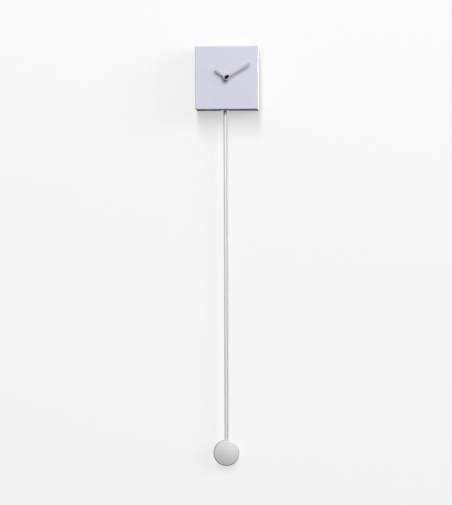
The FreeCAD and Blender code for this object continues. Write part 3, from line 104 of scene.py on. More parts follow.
# %% Helpers for shapes
def new_piece(name, mesh_work):
    bmesh.ops.recalc_face_normals(mesh_work, faces=mesh_work.faces)
    mesh = bpy.data.meshes.new(name)
    mesh_work.to_mesh(mesh)
    mesh_work.free()
    piece = bpy.data.objects.new(name, mesh)
    scene.collection.objects.link(piece)
    return piece

def from_points(name, points, faces):
    work = bmesh.new()
    corners = [work.verts.new(p) for p in points]
    for face in faces:
        work.faces.new([corners[i] for i in face])
    return new_piece(name, work)

print("a piece is made from its points and faces")

# %% Helpers for turned shapes
ON_AXIS = 1e-6
MOST_OF_SIDE = 0.45
TURN_TO = {
    "x": Matrix(((0, 0, 1), (1, 0, 0), (0, 1, 0))),
    "y": Matrix(((1, 0, 0), (0, 0, 1), (0, -1, 0))),
    "z": Matrix.Identity(3),
}

def turned(name, profile, centre, along="y", steps=96, ring=False, radius_at=None):
    """A lathe: the profile is (radius, reach) pairs about an axis through the centre.

    With ring, the profile's ends are joined. With radius_at, the radius changes round the axis.
    """
    points, rings = [], []
    for radius, reach in profile:
        start = len(points)
        count = 1 if radius < ON_AXIS else steps
        rings.append([start + k % count for k in range(steps)])
        for k in range(count):
            angle = tau * k / steps
            r = radius_at(radius, reach, angle) if radius_at else radius
            points.append((r * cos(angle), r * sin(angle), reach))
    faces = []
    pairs = list(zip(rings, rings[1:])) + ([(rings[-1], rings[0])] if ring else [])
    for low, high in pairs:
        for k in range(steps):
            n = (k + 1) % steps
            face = list(dict.fromkeys([low[k], low[n], high[n], high[k]]))
            if len(face) > 2:
                faces.append(face)
    place = Vector(centre)
    return from_points(name, [TURN_TO[along] @ Vector(p) + place for p in points], faces)

def eased(profile, radius, bends=3, ring=False):
    """The profile with each corner rounded by about that radius."""
    out = []
    count = len(profile)
    for i, point in enumerate(profile):
        if not ring and i in (0, count - 1):
            out.append(point)
            continue
        here = Vector(point)
        before = Vector(profile[i - 1]) - here
        after = Vector(profile[(i + 1) % count]) - here
        reach_in = before.normalized() * min(radius, before.length * MOST_OF_SIDE)
        reach_out = after.normalized() * min(radius, after.length * MOST_OF_SIDE)
        for b in range(bends + 1):
            t = b / bends
            out.append(tuple(here + reach_in * (1 - t) ** 2 + reach_out * t ** 2))
    return out

def pin(name, radius, start, end, centre, **how):
    """A plain round bar, such as a drill or a punch."""
    return turned(name, [(0, start), (radius, start), (radius, end), (0, end)], centre, **how)

print("an eased square has", len(eased([(1, 0), (2, 0), (2, 1), (1, 1)], 0.1, ring=True)), "points")

# %% Helpers for blocks and prisms
def block(name, low, high, bend=0.0, steps=4, keep=None):
    """A box from corner to corner; its edges are bent by that radius, unless keep() spares them."""
    work = bmesh.new()
    bmesh.ops.create_cube(work, size=1.0)
    for v in work.verts:
        v.co = Vector(low[i] + (v.co[i] + 0.5) * (high[i] - low[i]) for i in range(3))
    if bend:
        edges = [e for e in work.edges if not (keep and all(keep(v.co) for v in e.verts))]
        bmesh.ops.bevel(work, geom=edges, offset=bend, segments=steps, profile=0.5, affect="EDGES")
    return new_piece(name, work)

def drawn_between(name, start, end):
    """A solid between two outlines that have the same number of corners."""
    count = len(start)
    faces = [list(range(count)), list(range(2 * count - 1, count - 1, -1))]
    faces += [[k, (k + 1) % count, (k + 1) % count + count, k + count] for k in range(count)]
    return from_points(name, start + end, faces)

def prism(name, outline, back, front):
    """An outline of (x, z) corners, drawn out between two depths."""
    return drawn_between(name, [(x, back, z) for x, z in outline], [(x, front, z) for x, z in outline])

def hex_corners(centre, across_flats):
    reach = across_flats / sqrt(3)
    turns = [tau * k / 6 for k in range(6)]
    return [(centre[0] + reach * cos(turn), centre[2] + reach * sin(turn)) for turn in turns]

print("blocks, prisms and hexagons are ready")

# %% Helpers for cutting and welding
def settle(piece):
    """Works the waiting modifiers into the mesh."""
    graph = bpy.context.evaluated_depsgraph_get()
    worked = bpy.data.meshes.new_from_object(piece.evaluated_get(graph))
    piece.modifiers.clear()
    piece.data = worked
    return piece

def joined_by(piece, others, how):
    for other in others:
        tool = piece.modifiers.new(how.lower(), "BOOLEAN")
        tool.operation, tool.solver, tool.object = how, "EXACT", other
        settle(piece)
        bpy.data.objects.remove(other)
    return piece

def cut_out(piece, *tools):
    return joined_by(piece, tools, "DIFFERENCE")

def welded(piece, *others):
    return joined_by(piece, others, "UNION")

def ease_edges(piece, width, steps, sharper_than):
    bevel = piece.modifiers.new("eased edges", "BEVEL")
    bevel.width, bevel.segments = width, steps
    bevel.limit_method, bevel.angle_limit = "ANGLE", radians(sharper_than)
    return settle(piece)

def merged(name, *pieces):
    """Several separate bodies in one object, such as a pair of screws."""
    work = bmesh.new()
    for piece in pieces:
        work.from_mesh(piece.data)
        bpy.data.objects.remove(piece)
    return new_piece(name, work)

print("cuts, welds and eased edges are ready")

# %% Helpers for screw threads
SLOPE = 1.7
SAME_RADIUS = 1e-6
def thread_radius(minor, major, pitch):
    """How far out a screw thread's flank is, at a reach along the axis and an angle about it.

    Only the profile's points at the major radius are threaded.
    """
    def at(radius, reach, angle):
        if abs(radius - major) > SAME_RADIUS:
            return radius
        turn = (reach / pitch + angle / tau) % 1.0
        return minor + (major - minor) * min(1.0, SLOPE * abs(2 * turn - 1))
    return at

def along_thread(start, end, pitch, samples=6):
    count = max(2, int(abs(end - start) / pitch * samples))
    return [start + (end - start) * k / count for k in range(count + 1)]

print("an M3 thread of 5 mm has", len(along_thread(0, 5, 0.5)), "rings")

# %% [markdown]
# ## Finishes
# A finish is a small tree of nodes. Each starts from the same four ideas: the colour wanders a
# little, the roughness wanders with it, a fine bump gives the grain, and edges are worn where the
# bevel node finds that the surface turns. All the patterns are laid on the object's own
# coordinates, so they stay on the part when it moves.

# %% Helpers for nodes
FIRST_COLOUR, SECOND_COLOUR, MIXED_COLOUR = 6, 7, 2

def node_of(tree, kind, **sockets):
    made = tree.nodes.new(kind)
    for name, value in sockets.items():
        made.inputs[name.replace("_", " ")].default_value = value
    return made

def feed(tree, socket, term):
    """Links the socket to another node's socket, or sets it to a plain value."""
    if isinstance(term, bpy.types.NodeSocket):
        tree.links.new(term, socket)
    else:
        socket.default_value = term

def sum_of(tree, operation, *terms, kind="ShaderNodeMath"):
    """A maths node, fed with its terms in order."""
    made = tree.nodes.new(kind)
    made.operation = operation
    for socket, term in zip(made.inputs, terms):
        feed(tree, socket, term)
    return made

def colour_mix(tree, factor, first, second):
    """The first colour where the factor is 0, the second where it is 1."""
    made = tree.nodes.new("ShaderNodeMix")
    made.data_type = "RGBA"
    feed(tree, made.inputs["Factor"], factor)
    feed(tree, made.inputs[FIRST_COLOUR], first)
    feed(tree, made.inputs[SECOND_COLOUR], second)
    return made.outputs[MIXED_COLOUR]

print("helpers for nodes are ready")

# %% Helpers for lathe lines and worn edges
WEAR_RADIUS, WEAR_SAMPLES = 0.35, 4
WEAR_STARTS, WEAR_FULL = 0.995, 0.85
RINGS_PER_SCALE = 3.0

def lathe_lines(tree, place, centre, axis, pitch):
    """Rings about an axis, as a turning tool leaves them."""
    about = node_of(tree, "ShaderNodeMapping", Location=[-c * MM for c in centre])
    feed(tree, about.inputs["Vector"], place)
    scale = 1.0 / (pitch * MM * RINGS_PER_SCALE)
    lines = node_of(tree, "ShaderNodeTexWave", Scale=scale, Distortion=1.5, Detail=2.0)
    lines.wave_type, lines.rings_direction = "RINGS", axis
    feed(tree, lines.inputs["Vector"], about.outputs["Vector"])
    return lines.outputs["Fac"]

def worn_edges(tree, patches, wear):
    """Nearly 0 on flat ground, and up to wear where an edge turns, in patches."""
    rounded = node_of(tree, "ShaderNodeBevel", Radius=WEAR_RADIUS * MM)
    rounded.samples = WEAR_SAMPLES
    flat = tree.nodes.new("ShaderNodeNewGeometry")
    agree = sum_of(tree, "DOT_PRODUCT", rounded.outputs["Normal"], flat.outputs["Normal"],
                   kind="ShaderNodeVectorMath")
    worn = node_of(tree, "ShaderNodeMapRange", From_Min=WEAR_STARTS, From_Max=WEAR_FULL,
                   To_Min=0.0, To_Max=wear)
    feed(tree, worn.inputs["Value"], agree.outputs["Value"])
    return sum_of(tree, "MULTIPLY", worn.outputs["Result"], patches).outputs[0]

print("edges wear within", WEAR_RADIUS, "mm of a turn")

# %% Helper for finishes
TINT_LOW, TINT_HIGH = 0.3, 0.7
GRAIN_HEIGHT = 0.2
WORN_BRIGHTER = 1.35

def shade(colour, factor):
    return tuple(min(1.0, c * factor) for c in colour) + (1.0,)

def finish(name, colour, wander=0.06, patch=18.0, metal=0.0, rough=(0.35, 0.5), grain=400.0, bump=0.05,
           stretch=(1, 1, 1), turn=(0, 0, 0), wear=0.35, wear_colour=None, coat=0.0, rings=None,
           second=None):
    """A finish from its patches per metre, range of roughness and grain per metre.

    Stretch and turn lay the grain in one direction. Rings are a centre, an axis and a pitch.
    """
    material = bpy.data.materials.new(name)
    material.use_nodes = True
    material.diffuse_color = (*colour, 1.0)
    tree = material.node_tree
    shader = tree.nodes["Principled BSDF"]
    shader.inputs["Metallic"].default_value = metal
    shader.inputs["Coat Weight"].default_value = coat
    place = tree.nodes.new("ShaderNodeTexCoord").outputs["Object"]
    noise = node_of(tree, "ShaderNodeTexNoise", Scale=patch, Detail=5.0, Roughness=0.6)
    feed(tree, noise.inputs["Vector"], place)
    patches = noise.outputs["Fac"]
    tint = tree.nodes.new("ShaderNodeValToRGB")
    low, high = tint.color_ramp.elements
    low.position, low.color = TINT_LOW, shade(colour, 1 - wander)
    high.position, high.color = TINT_HIGH, shade(second or colour, 1 + wander)
    feed(tree, tint.inputs["Fac"], patches)
    laid = node_of(tree, "ShaderNodeMapping", Scale=stretch, Rotation=turn)
    feed(tree, laid.inputs["Vector"], place)
    grain_noise = node_of(tree, "ShaderNodeTexNoise", Scale=grain, Detail=3.0, Roughness=0.55)
    feed(tree, grain_noise.inputs["Vector"], laid.outputs["Vector"])
    fine = grain_noise.outputs["Fac"]
    both = sum_of(tree, "ADD", patches, fine).outputs[0]
    polish = node_of(tree, "ShaderNodeMapRange", To_Min=rough[0], To_Max=rough[1])
    feed(tree, polish.inputs["Value"], sum_of(tree, "MULTIPLY", both, 0.5).outputs[0])
    feed(tree, shader.inputs["Roughness"], polish.outputs["Result"])
    height = sum_of(tree, "ADD", fine, lathe_lines(tree, place, *rings)).outputs[0] if rings else fine
    relief = node_of(tree, "ShaderNodeBump", Strength=bump, Distance=GRAIN_HEIGHT * MM)
    feed(tree, relief.inputs["Height"], height)
    feed(tree, shader.inputs["Normal"], relief.outputs["Normal"])
    bare = shade(wear_colour, 1.0) if wear_colour else shade(colour, WORN_BRIGHTER)
    worn = colour_mix(tree, worn_edges(tree, patches, wear), tint.outputs["Color"], bare)
    feed(tree, shader.inputs["Base Color"], worn)
    return material

def overlay(material, factor, colour):
    """Lays a second colour over a finish, where the factor says."""
    tree = material.node_tree
    base = tree.nodes["Principled BSDF"].inputs["Base Color"]
    feed(tree, base, colour_mix(tree, factor, base.links[0].from_socket, colour))

print("helper for finishes is ready")

# %% The finishes that show from the front
BOB_CENTRE = (BOB_AXIS[0], 0.0, BOB_AXIS[2])
HANDS_CENTRE = (HANDS_AXIS[0], 0.0, HANDS_AXIS[2])
powder_coat = finish("pale powder coat", (0.57, 0.57, 0.665), wander=0.02, patch=30, rough=(0.42, 0.55),
                     grain=1500, bump=0.09, wear=0.3, wear_colour=(0.68, 0.68, 0.74))
brass = finish("turned brass", (0.62, 0.44, 0.17), wander=0.08, patch=120, metal=1.0,
               rough=(0.22, 0.38), grain=500, bump=0.05, rings=(HANDS_CENTRE, "Y", 0.25),
               second=(0.66, 0.50, 0.24))
gloss_black = finish("gloss black", (0.006, 0.006, 0.007), wander=0.2, patch=200, rough=(0.5, 0.6),
                     grain=900, bump=0.03, wear=0.2, wear_colour=(0.05, 0.05, 0.05),
                     rings=(HANDS_CENTRE, "Y", 0.3))
rod_metal = finish("drawn satin rod", (0.67, 0.67, 0.672), wander=0.03, patch=40, metal=0.15,
                   rough=(0.36, 0.48), grain=1400, stretch=(1, 1, 0.02), bump=0.05, wear=0.3)
bob_metal = finish("satin spun bob", (0.70, 0.70, 0.702), wander=0.025, patch=30, metal=0.03,
                   rough=(0.56, 0.66), grain=900, bump=0.035, rings=(BOB_CENTRE, "Y", 0.35), wear=0.25)
for dull, level in ((bob_metal, 0.15), (rod_metal, 0.25), (gloss_black, 0.05)):
    dull.node_tree.nodes["Principled BSDF"].inputs["Specular IOR Level"].default_value = level
print(len(bpy.data.materials), "finishes so far")

# %% Paint shade on the bob's rolled edge
RIM_SHADE_START, RIM_SHADE_FULL = 20.6, 22.6
RIM_PAINTED_SHADE = (0.50, 0.50, 0.50, 1)
# The rolled edge gets a darker grey laid over its finish: painted shade round the rim.
tree = bob_metal.node_tree
bob_place = tree.nodes["Texture Coordinate"].outputs["Object"]
from_axis = sum_of(tree, "SUBTRACT", bob_place, [v * MM for v in BOB_CENTRE], kind="ShaderNodeVectorMath")
flattened = sum_of(tree, "MULTIPLY", from_axis.outputs["Vector"], (1, 0, 1), kind="ShaderNodeVectorMath")
from_middle = sum_of(tree, "LENGTH", flattened.outputs["Vector"], kind="ShaderNodeVectorMath")
rim_painted_shade = node_of(tree, "ShaderNodeMapRange", From_Min=RIM_SHADE_START * MM, From_Max=RIM_SHADE_FULL * MM)
feed(tree, rim_painted_shade.inputs["Value"], from_middle.outputs["Value"])
overlay(bob_metal, rim_painted_shade.outputs["Result"], RIM_PAINTED_SHADE)
print("the bob darkens from", RIM_SHADE_START, "to", RIM_SHADE_FULL, "mm from its axis")

# %% The finishes behind and inside
zinc_steel = finish("bright zinc plate", (0.60, 0.61, 0.63), wander=0.05, patch=60, metal=1.0,
                    rough=(0.28, 0.45), grain=300, stretch=(1, 8, 8), bump=0.05,
                    second=(0.66, 0.64, 0.58))
black_moulding = finish("black moulding", (0.022, 0.022, 0.024), wander=0.15, patch=40,
                        rough=(0.42, 0.6), grain=1800, bump=0.25, wear=0.5,
                        wear_colour=(0.09, 0.09, 0.09))
white_gear = finish("milky acetal", (0.76, 0.74, 0.68), wander=0.03, patch=90, rough=(0.3, 0.42),
                    grain=700, bump=0.04)
rubber = finish("black rubber", (0.018, 0.018, 0.018), wander=0.2, patch=80, rough=(0.65, 0.85),
                grain=900, bump=0.2)
steel = finish("bright steel", (0.52, 0.52, 0.53), wander=0.06, patch=90, metal=1.0,
               rough=(0.25, 0.4), grain=600, stretch=(1, 6, 1), bump=0.05)
cast_zinc = finish("cast zinc", (0.30, 0.31, 0.32), wander=0.15, patch=200, metal=0.9,
                   rough=(0.45, 0.65), grain=500, bump=0.3)
copper = finish("enamelled copper", (0.62, 0.24, 0.10), wander=0.08, patch=150, metal=1.0,
                rough=(0.25, 0.35), grain=900, bump=0.05, coat=0.6)
dark_magnet = finish("sintered magnet", (0.06, 0.06, 0.065), wander=0.25, patch=500, metal=0.6,
                     rough=(0.45, 0.65), grain=2200, bump=0.2)
board = finish("green lacquered board", (0.02, 0.13, 0.05), wander=0.2, patch=260, rough=(0.2, 0.35),
               grain=700, bump=0.1, coat=0.5, second=(0.05, 0.22, 0.09))
resin = finish("black resin", (0.01, 0.01, 0.01), wander=0.3, patch=120, rough=(0.12, 0.3), grain=400,
               bump=0.1, coat=0.4)
bobbin_plastic = finish("natural moulding", (0.70, 0.68, 0.60), wander=0.04, patch=100,
                        rough=(0.35, 0.5), grain=900, bump=0.05)
print(len(bpy.data.materials), "finishes so far")

# %% [markdown]
# ### Brushed hands
# The hands are stamped from aluminium, brushed along their length and clear lacquered. The grain
# therefore runs a different way on each hand, and each gets its own turn of the same finish.

# %% Brushed finishes for the two hands
HOUR_ANGLE, MINUTE_ANGLE = radians(305.0), radians(59.0)

def brushed(name, angle):
    return finish(name, (0.48, 0.48, 0.495), wander=0.03, patch=60, metal=0.1, rough=(0.5, 0.6),
                  grain=2200, stretch=(1, 1, 0.03), turn=(0, angle, 0), bump=0.06, wear=0.2,
                  wear_colour=(0.7, 0.7, 0.72))

hour_silver = brushed("brushed hour hand", -HOUR_ANGLE)
minute_silver = brushed("brushed minute hand", -MINUTE_ANGLE)
print("hands", round(HOUR_ANGLE, 2), "and", round(MINUTE_ANGLE, 2), "radians clockwise from upright")

# %% Fit a piece to the clock
SHARP_EDGE = radians(50)
FACE_WEIGHT = 60

def fit(piece, body, material, slot, *stands_for):
    """Shrinks the piece to metres, gives it its finish and hangs it on its body."""
    piece.data.transform(Matrix.Scale(MM, 4))
    piece.data.materials.clear()
    piece.data.materials.append(material)
    piece.data.shade_smooth()
    piece.data.set_sharp_from_angle(angle=SHARP_EDGE)
    even = piece.modifiers.new("even shading", "WEIGHTED_NORMAL")
    even.keep_sharp, even.weight = True, FACE_WEIGHT
    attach(piece, body)
    if stands_for:
        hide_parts(*stands_for)
    print(piece.name, "rides", body, "with", len(piece.data.polygons), "faces")

# %% [markdown]
# ## The case
# The case is one sheet of steel, folded into a box that is open at the wall, welded at its corners
# and powder coated. It could be a box with thickness added, but the bends then have no inner
# radius. Here an outer block is bent at every edge but the open one, a second, smaller block is
# taken out of it, and the slot for the rod and the hole for the movement's post are punched.

# %% Fold the case
SHEET = 1.5
OUTER_BEND, INNER_BEND = 1.0, 0.4
OPEN_TO, NEAR = 5.0, 0.1
case_lo, case_hi = span("case_shell")
case = block("folded_case", case_lo, case_hi, OUTER_BEND, keep=lambda point: point.y > -NEAR)
inside = block("inside", [v + SHEET for v in case_lo],
               [case_hi[0] - SHEET, OPEN_TO, case_hi[2] - SHEET], INNER_BEND,
               keep=lambda point: point.y > OPEN_TO - NEAR)
cut_out(case, inside)
print("case", [round(b - a, 1) for a, b in zip(case_lo, case_hi)], "mm, sheet", SHEET)

# %% Punch the slot for the rod and the hole for the post
SLOT_HALF, SLOT_STEPS = 6.5, 24
SLOT_AHEAD, SLOT_BEHIND = 3.5, 3.0
PUNCH_BELOW, PUNCH_ABOVE = 2.0, 4.0
POST_HOLE = 4.1
FACE_PUNCH = (-55.0, -45.0)
rod_axis = middle("pendulum_rod")
slot_front = rod_axis[1] - SLOT_AHEAD
turns = [tau * k / (2 * SLOT_STEPS) for k in range(SLOT_STEPS + 1)]
slot_outline = [(rod_axis[0] + SLOT_HALF * cos(t), slot_front - SLOT_HALF * sin(t)) for t in turns]
slot_outline += [(rod_axis[0] + side * SLOT_HALF, SLOT_BEHIND) for side in (-1, 1)]
rod_slot = drawn_between("rod_slot", [(x, y, case_lo[2] - PUNCH_BELOW) for x, y in slot_outline],
                         [(x, y, case_lo[2] + PUNCH_ABOVE) for x, y in slot_outline])
cut_out(case, rod_slot, pin("post_hole", POST_HOLE, *FACE_PUNCH, HANDS_CENTRE))
print("rod slot", 2 * SLOT_HALF, "mm wide, post hole", 2 * POST_HOLE, "mm across")

# %% Weld in the hanger lugs
BRACKET_PLATE = 2.0
LUG_INNER, LUG_OUTER, LUG_DROP, LUG_SUNK, LUG_BEND = 12.0, 45.0, 10.0, 0.5, 0.5
LUG_HOLE, LUG_DRILL = 1.6, (-6.0, 0.0)
SCREW_X, SCREW_Z = 30.0, middle("bracket_screws")[2]
SCREW_SIDES = (-1, 1)
lug_top = case_hi[2] - SHEET
for side in SCREW_SIDES:
    xs = sorted((side * LUG_INNER, side * LUG_OUTER))
    lug = block("lug", (xs[0], -BRACKET_PLATE - SHEET, lug_top - LUG_DROP),
                (xs[1], -BRACKET_PLATE, lug_top + LUG_SUNK), LUG_BEND, 3,
                keep=lambda point: point.z > lug_top)
    hole = pin("hole", LUG_HOLE, *LUG_DRILL, (side * SCREW_X, 0, SCREW_Z), steps=48)
    welded(case, cut_out(lug, hole))
ease_edges(case, width=0.18, steps=2, sharper_than=40)
fit(case, "clock_case", powder_coat, "powder_coat", "case_shell")

# %% [markdown]
# ## The hanger
# A zinc-plated plate carries the keyhole that goes over the wall screw. Two countersunk screws and
# nuts hold it to the lugs. The plate is stamped, so its outline has soft corners and its edges are
# slightly rolled; the screws have a real thread, cut as a ridge that climbs one pitch a turn.

# %% Stamp the hanger plate
KEYHOLE, SLOT_WIDTH, SLOT_TOP = 4.5, 4.2, 9.0
CORNER, CORNER_STEPS, ARC_STEPS = 3.0, 8, 16
THROUGH = (2.0, -4.0)
bracket_lo, bracket_hi = span("hanger_bracket")
left, low = bracket_lo[0] + CORNER, bracket_lo[2] + CORNER
far, top = bracket_hi[0] - CORNER, bracket_hi[2] - CORNER
plate_outline = []
for quarter, (cx, cz) in enumerate(((far, top), (left, top), (left, low), (far, low))):
    for k in range(CORNER_STEPS + 1):
        angle = tau / 4 * (quarter + k / CORNER_STEPS)
        plate_outline.append((cx + CORNER * cos(angle), cz + CORNER * sin(angle)))
plate = prism("hanger_plate", plate_outline, 0.0, -BRACKET_PLATE)
round_hole = pin("round_hole", KEYHOLE, *THROUGH[::-1], (0, 0, 0), steps=64)
half_slot = SLOT_WIDTH / 2
turns = [tau / 2 * k / ARC_STEPS for k in range(ARC_STEPS + 1)]
slot_corners = [(-half_slot, 0), (half_slot, 0)]
slot_corners += [(half_slot * cos(t), SLOT_TOP + half_slot * sin(t)) for t in turns]
cut_out(plate, round_hole, prism("keyhole_slot", slot_corners, *THROUGH))
print("keyhole", 2 * KEYHOLE, "mm, its slot", SLOT_WIDTH, "mm")

# %% Countersink the plate for its screws
HEAD_RADIUS, HEAD_DEPTH, SHANK, ROOM = 2.85, 1.4, 1.5, 0.1
SINK_ABOVE, SINK_THROUGH = 1, -4
wide, narrow = HEAD_RADIUS + ROOM, SHANK + ROOM
sink_section = [(0, SINK_ABOVE), (wide, SINK_ABOVE), (wide, 0), (narrow, -HEAD_DEPTH),
                (narrow, SINK_THROUGH), (0, SINK_THROUGH)]
for side in SCREW_SIDES:
    cut_out(plate, turned("sink", sink_section, (side * SCREW_X, 0, SCREW_Z), steps=64))
ease_edges(plate, width=0.22, steps=3, sharper_than=40)
fit(plate, "clock_case", zinc_steel, "zinc_steel", "hanger_bracket")

# %% Countersunk screws with a cross recess
SCREW_LENGTH, THREAD_PITCH, THREAD_DEPTH, THREAD_MARGIN = 7.0, 0.5, 0.3, 0.3
HEAD_BREAK, HEAD_SUNK, HEAD_FOOT, SCREW_POINT = 0.15, 0.05, 0.2, 1.0
CROSS_LONG, CROSS_THIN, CROSS_DEPTH, CROSS_ABOVE = 1.6, 0.25, 0.8, 0.5

def countersunk(side):
    centre = (side * SCREW_X, 0, SCREW_Z)
    head = [(0, -HEAD_SUNK), (HEAD_RADIUS - HEAD_BREAK, -HEAD_SUNK), (HEAD_RADIUS, -HEAD_BREAK),
            (SHANK - HEAD_FOOT, -HEAD_DEPTH)]
    rings = along_thread(-HEAD_DEPTH - THREAD_MARGIN, -SCREW_LENGTH + THREAD_MARGIN, THREAD_PITCH)
    end = [(SCREW_POINT, -SCREW_LENGTH), (0, -SCREW_LENGTH)]
    screw = turned("screw", head + [(SHANK, y) for y in rings] + end, centre, steps=48,
                   radius_at=thread_radius(SHANK - THREAD_DEPTH, SHANK, THREAD_PITCH))
    for wide, high in ((CROSS_LONG, CROSS_THIN), (CROSS_THIN, CROSS_LONG)):
        cut_out(screw, block("recess", (centre[0] - wide, -CROSS_DEPTH, SCREW_Z - high),
                             (centre[0] + wide, CROSS_ABOVE, SCREW_Z + high)))
    return screw

screws = merged("hanger_screws", *[countersunk(side) for side in SCREW_SIDES])
fit(screws, "clock_case", zinc_steel, "zinc_steel", "bracket_screws")

# %% Hexagon nuts, chamfered on both faces
CHAMFER_SHARE, FLATS_SHARE = 0.6, 0.98
CONE_ROOM, BORE_SINK, BORE_LEAD, BORE_PAST = 0.05, 0.25, 0.3, 1
NUT_FLATS = 5.5

def hex_nut(name, centre, across_flats, hole, back, front):
    """A hexagon bar, turned to a cone at both faces, and bored."""
    nut = prism(name, hex_corners(centre, across_flats), back, front)
    axis = (centre[0], 0, centre[2])
    corner = across_flats / sqrt(3)
    low, high = min(back, front), max(back, front)
    chamfer = (corner - across_flats / 2) * CHAMFER_SHARE
    face, outer = across_flats / 2 * FLATS_SHARE, corner + CONE_ROOM
    cone = turned("cone", [(0, low), (face, low), (outer, low + chamfer), (outer, high - chamfer),
                           (face, high), (0, high)], axis, steps=72)
    joined_by(nut, [cone], "INTERSECT")
    mouth = hole + BORE_SINK
    start, end = low - BORE_PAST, high + BORE_PAST
    bore = turned("bore", [(0, start), (mouth, start), (mouth, low), (hole, low + BORE_LEAD),
                           (hole, high - BORE_LEAD), (mouth, high), (mouth, end), (0, end)],
                  axis, steps=48)
    return cut_out(nut, bore)

nuts_lo, nuts_hi = span("bracket_nuts")
nuts = [hex_nut("nut", (side * SCREW_X, 0, SCREW_Z), NUT_FLATS, SHANK, nuts_hi[1], nuts_lo[1])
        for side in SCREW_SIDES]
fit(merged("hanger_nuts", *nuts), "clock_case", zinc_steel, "zinc_steel", "bracket_nuts")

# %% [markdown]
# ## Washer, nut and post
# The movement's threaded brass post comes through the face and is clamped by a washer and a thin
# hexagon nut. They sit behind the hands, so only their edges show from the front, but they carry
# the small bright lines that make the centre of the dial read as metal.

# %% Turn the washer and the nut
WASHER_EDGE = 0.15
DIAL_NUT_FLATS, POST = 9.6, 4.0

def eased_ring(name, inner, outer, back, front, edge, centre, steps=96):
    section = [(inner, back), (outer, back), (outer, front), (inner, front)]
    return turned(name, eased(section, edge, ring=True), centre, steps=steps, ring=True)

washer_lo, washer_hi = span("dial_washer")
washer_out = (washer_hi[0] - washer_lo[0]) / 2
washer = eased_ring("dial_washer_turned", POST_HOLE, washer_out, washer_hi[1], washer_lo[1],
                    WASHER_EDGE, HANDS_CENTRE)
fit(washer, "clock_case", brass, "brass", "dial_washer")
nut_lo, nut_hi = span("dial_nut")
dial_nut = hex_nut("dial_nut_cut", HANDS_CENTRE, DIAL_NUT_FLATS, POST, nut_hi[1], nut_lo[1])
fit(dial_nut, "clock_case", brass, "brass", "dial_nut")

# %% Turn the threaded post
POST_BORE, POST_NECK, POST_ROOT, POST_TIP, POST_PITCH = 2.65, 3.9, 3.62, 0.4, 0.75
FLANGE, FLANGE_FRONT, FLANGE_BACK = 6.0, -48.3, -47.5
PLAIN_NEAR_FLANGE, PLAIN_AT_TIP = 0.2, 0.5
post_lo, post_hi = span("threaded_post")
behind = [(POST_BORE, post_hi[1]), (POST_NECK, post_hi[1]), (POST_NECK, FLANGE_BACK),
          (FLANGE, FLANGE_BACK), (FLANGE, FLANGE_FRONT), (POST_NECK, FLANGE_FRONT)]
rings = along_thread(FLANGE_FRONT - PLAIN_NEAR_FLANGE, post_lo[1] + PLAIN_AT_TIP, POST_PITCH)
threaded = [(POST, y) for y in rings]
tip = [(POST - POST_TIP, post_lo[1]), (POST_BORE, post_lo[1])]
post = turned("threaded_brass_post", behind + threaded + tip, HANDS_CENTRE, ring=True,
              radius_at=thread_radius(POST_ROOT, POST, POST_PITCH))
fit(post, "clock_case", brass, "brass", "threaded_post")

# %% [markdown]
# ## The hands
# Each hand is a straight bar with a low ridge along its middle and a round boss pressed on its
# pipe. The ridge matters: one slope catches the light from above and the other turns away, which
# is why a narrow hand still reads as a solid bar. The bar and the boss are drawn as two bodies and
# welded, the bore is drilled, and the edges are eased as tumbling would do.

# %% Shape the ridged bar of a hand
PLATE, RIDGE = 0.8, 0.5
TIP_LENGTH, TIP_WIDTH = 0.5, 0.96

def ridged_bar(name, angle, length, width, back):
    """A bar of five-sided section from the hands' axis, slightly drawn in at its tip."""
    half, edge = width / 2, back - PLATE
    along, across = Vector((sin(angle), 0, cos(angle))), Vector((cos(angle), 0, -sin(angle)))
    section = [(-half, back), (half, back), (half, edge), (0.0, edge - RIDGE), (-half, edge)]
    points = []
    for reach, tuck in ((0.0, 1.0), (length - TIP_LENGTH, 1.0), (length, TIP_WIDTH)):
        for x, y in section:
            depth = y if y == back else edge + (y - edge) * tuck
            points.append(Vector(HANDS_CENTRE) + along * reach + across * (x * tuck)
                          + Vector((0, depth, 0)))
    ends = [[4, 3, 2, 1, 0], [10, 11, 12, 13, 14]]
    sides = [[r + k, r + (k + 1) % 5, r + 5 + (k + 1) % 5, r + 5 + k] for r in (0, 5) for k in range(5)]
    return from_points(name, points, ends + sides)

print("a hand's bar is", PLATE, "mm thick with a ridge of", RIDGE, "mm")

# %% Press on the bosses and drill the bores
BOSS_EDGE, BOSS_SUNK, COLLAR_SUNK = 0.18, 0.001, 0.2
BOSS_CLEAR, DRILL_REACH = 3.0, 5.0

def bossed_hand(bar, back, boss, boss_front, collar, collar_back, bore):
    """The bar with a boss in front, a collar behind, and a bore through both."""
    rim = [(0, back + BOSS_SUNK), (boss, back + BOSS_SUNK), (boss, boss_front), (0, boss_front)]
    disc = turned("disc", eased(rim, BOSS_EDGE), HANDS_CENTRE)
    cut_out(bar, pin("clear", boss, boss_front, boss_front - BOSS_CLEAR, HANDS_CENTRE))
    welded(bar, disc, pin("collar", collar, back - COLLAR_SUNK, collar_back, HANDS_CENTRE))
    cut_out(bar, pin("bore", bore, back - DRILL_REACH, back + DRILL_REACH, HANDS_CENTRE, steps=64))
    return ease_edges(bar, width=0.1, steps=2, sharper_than=38)

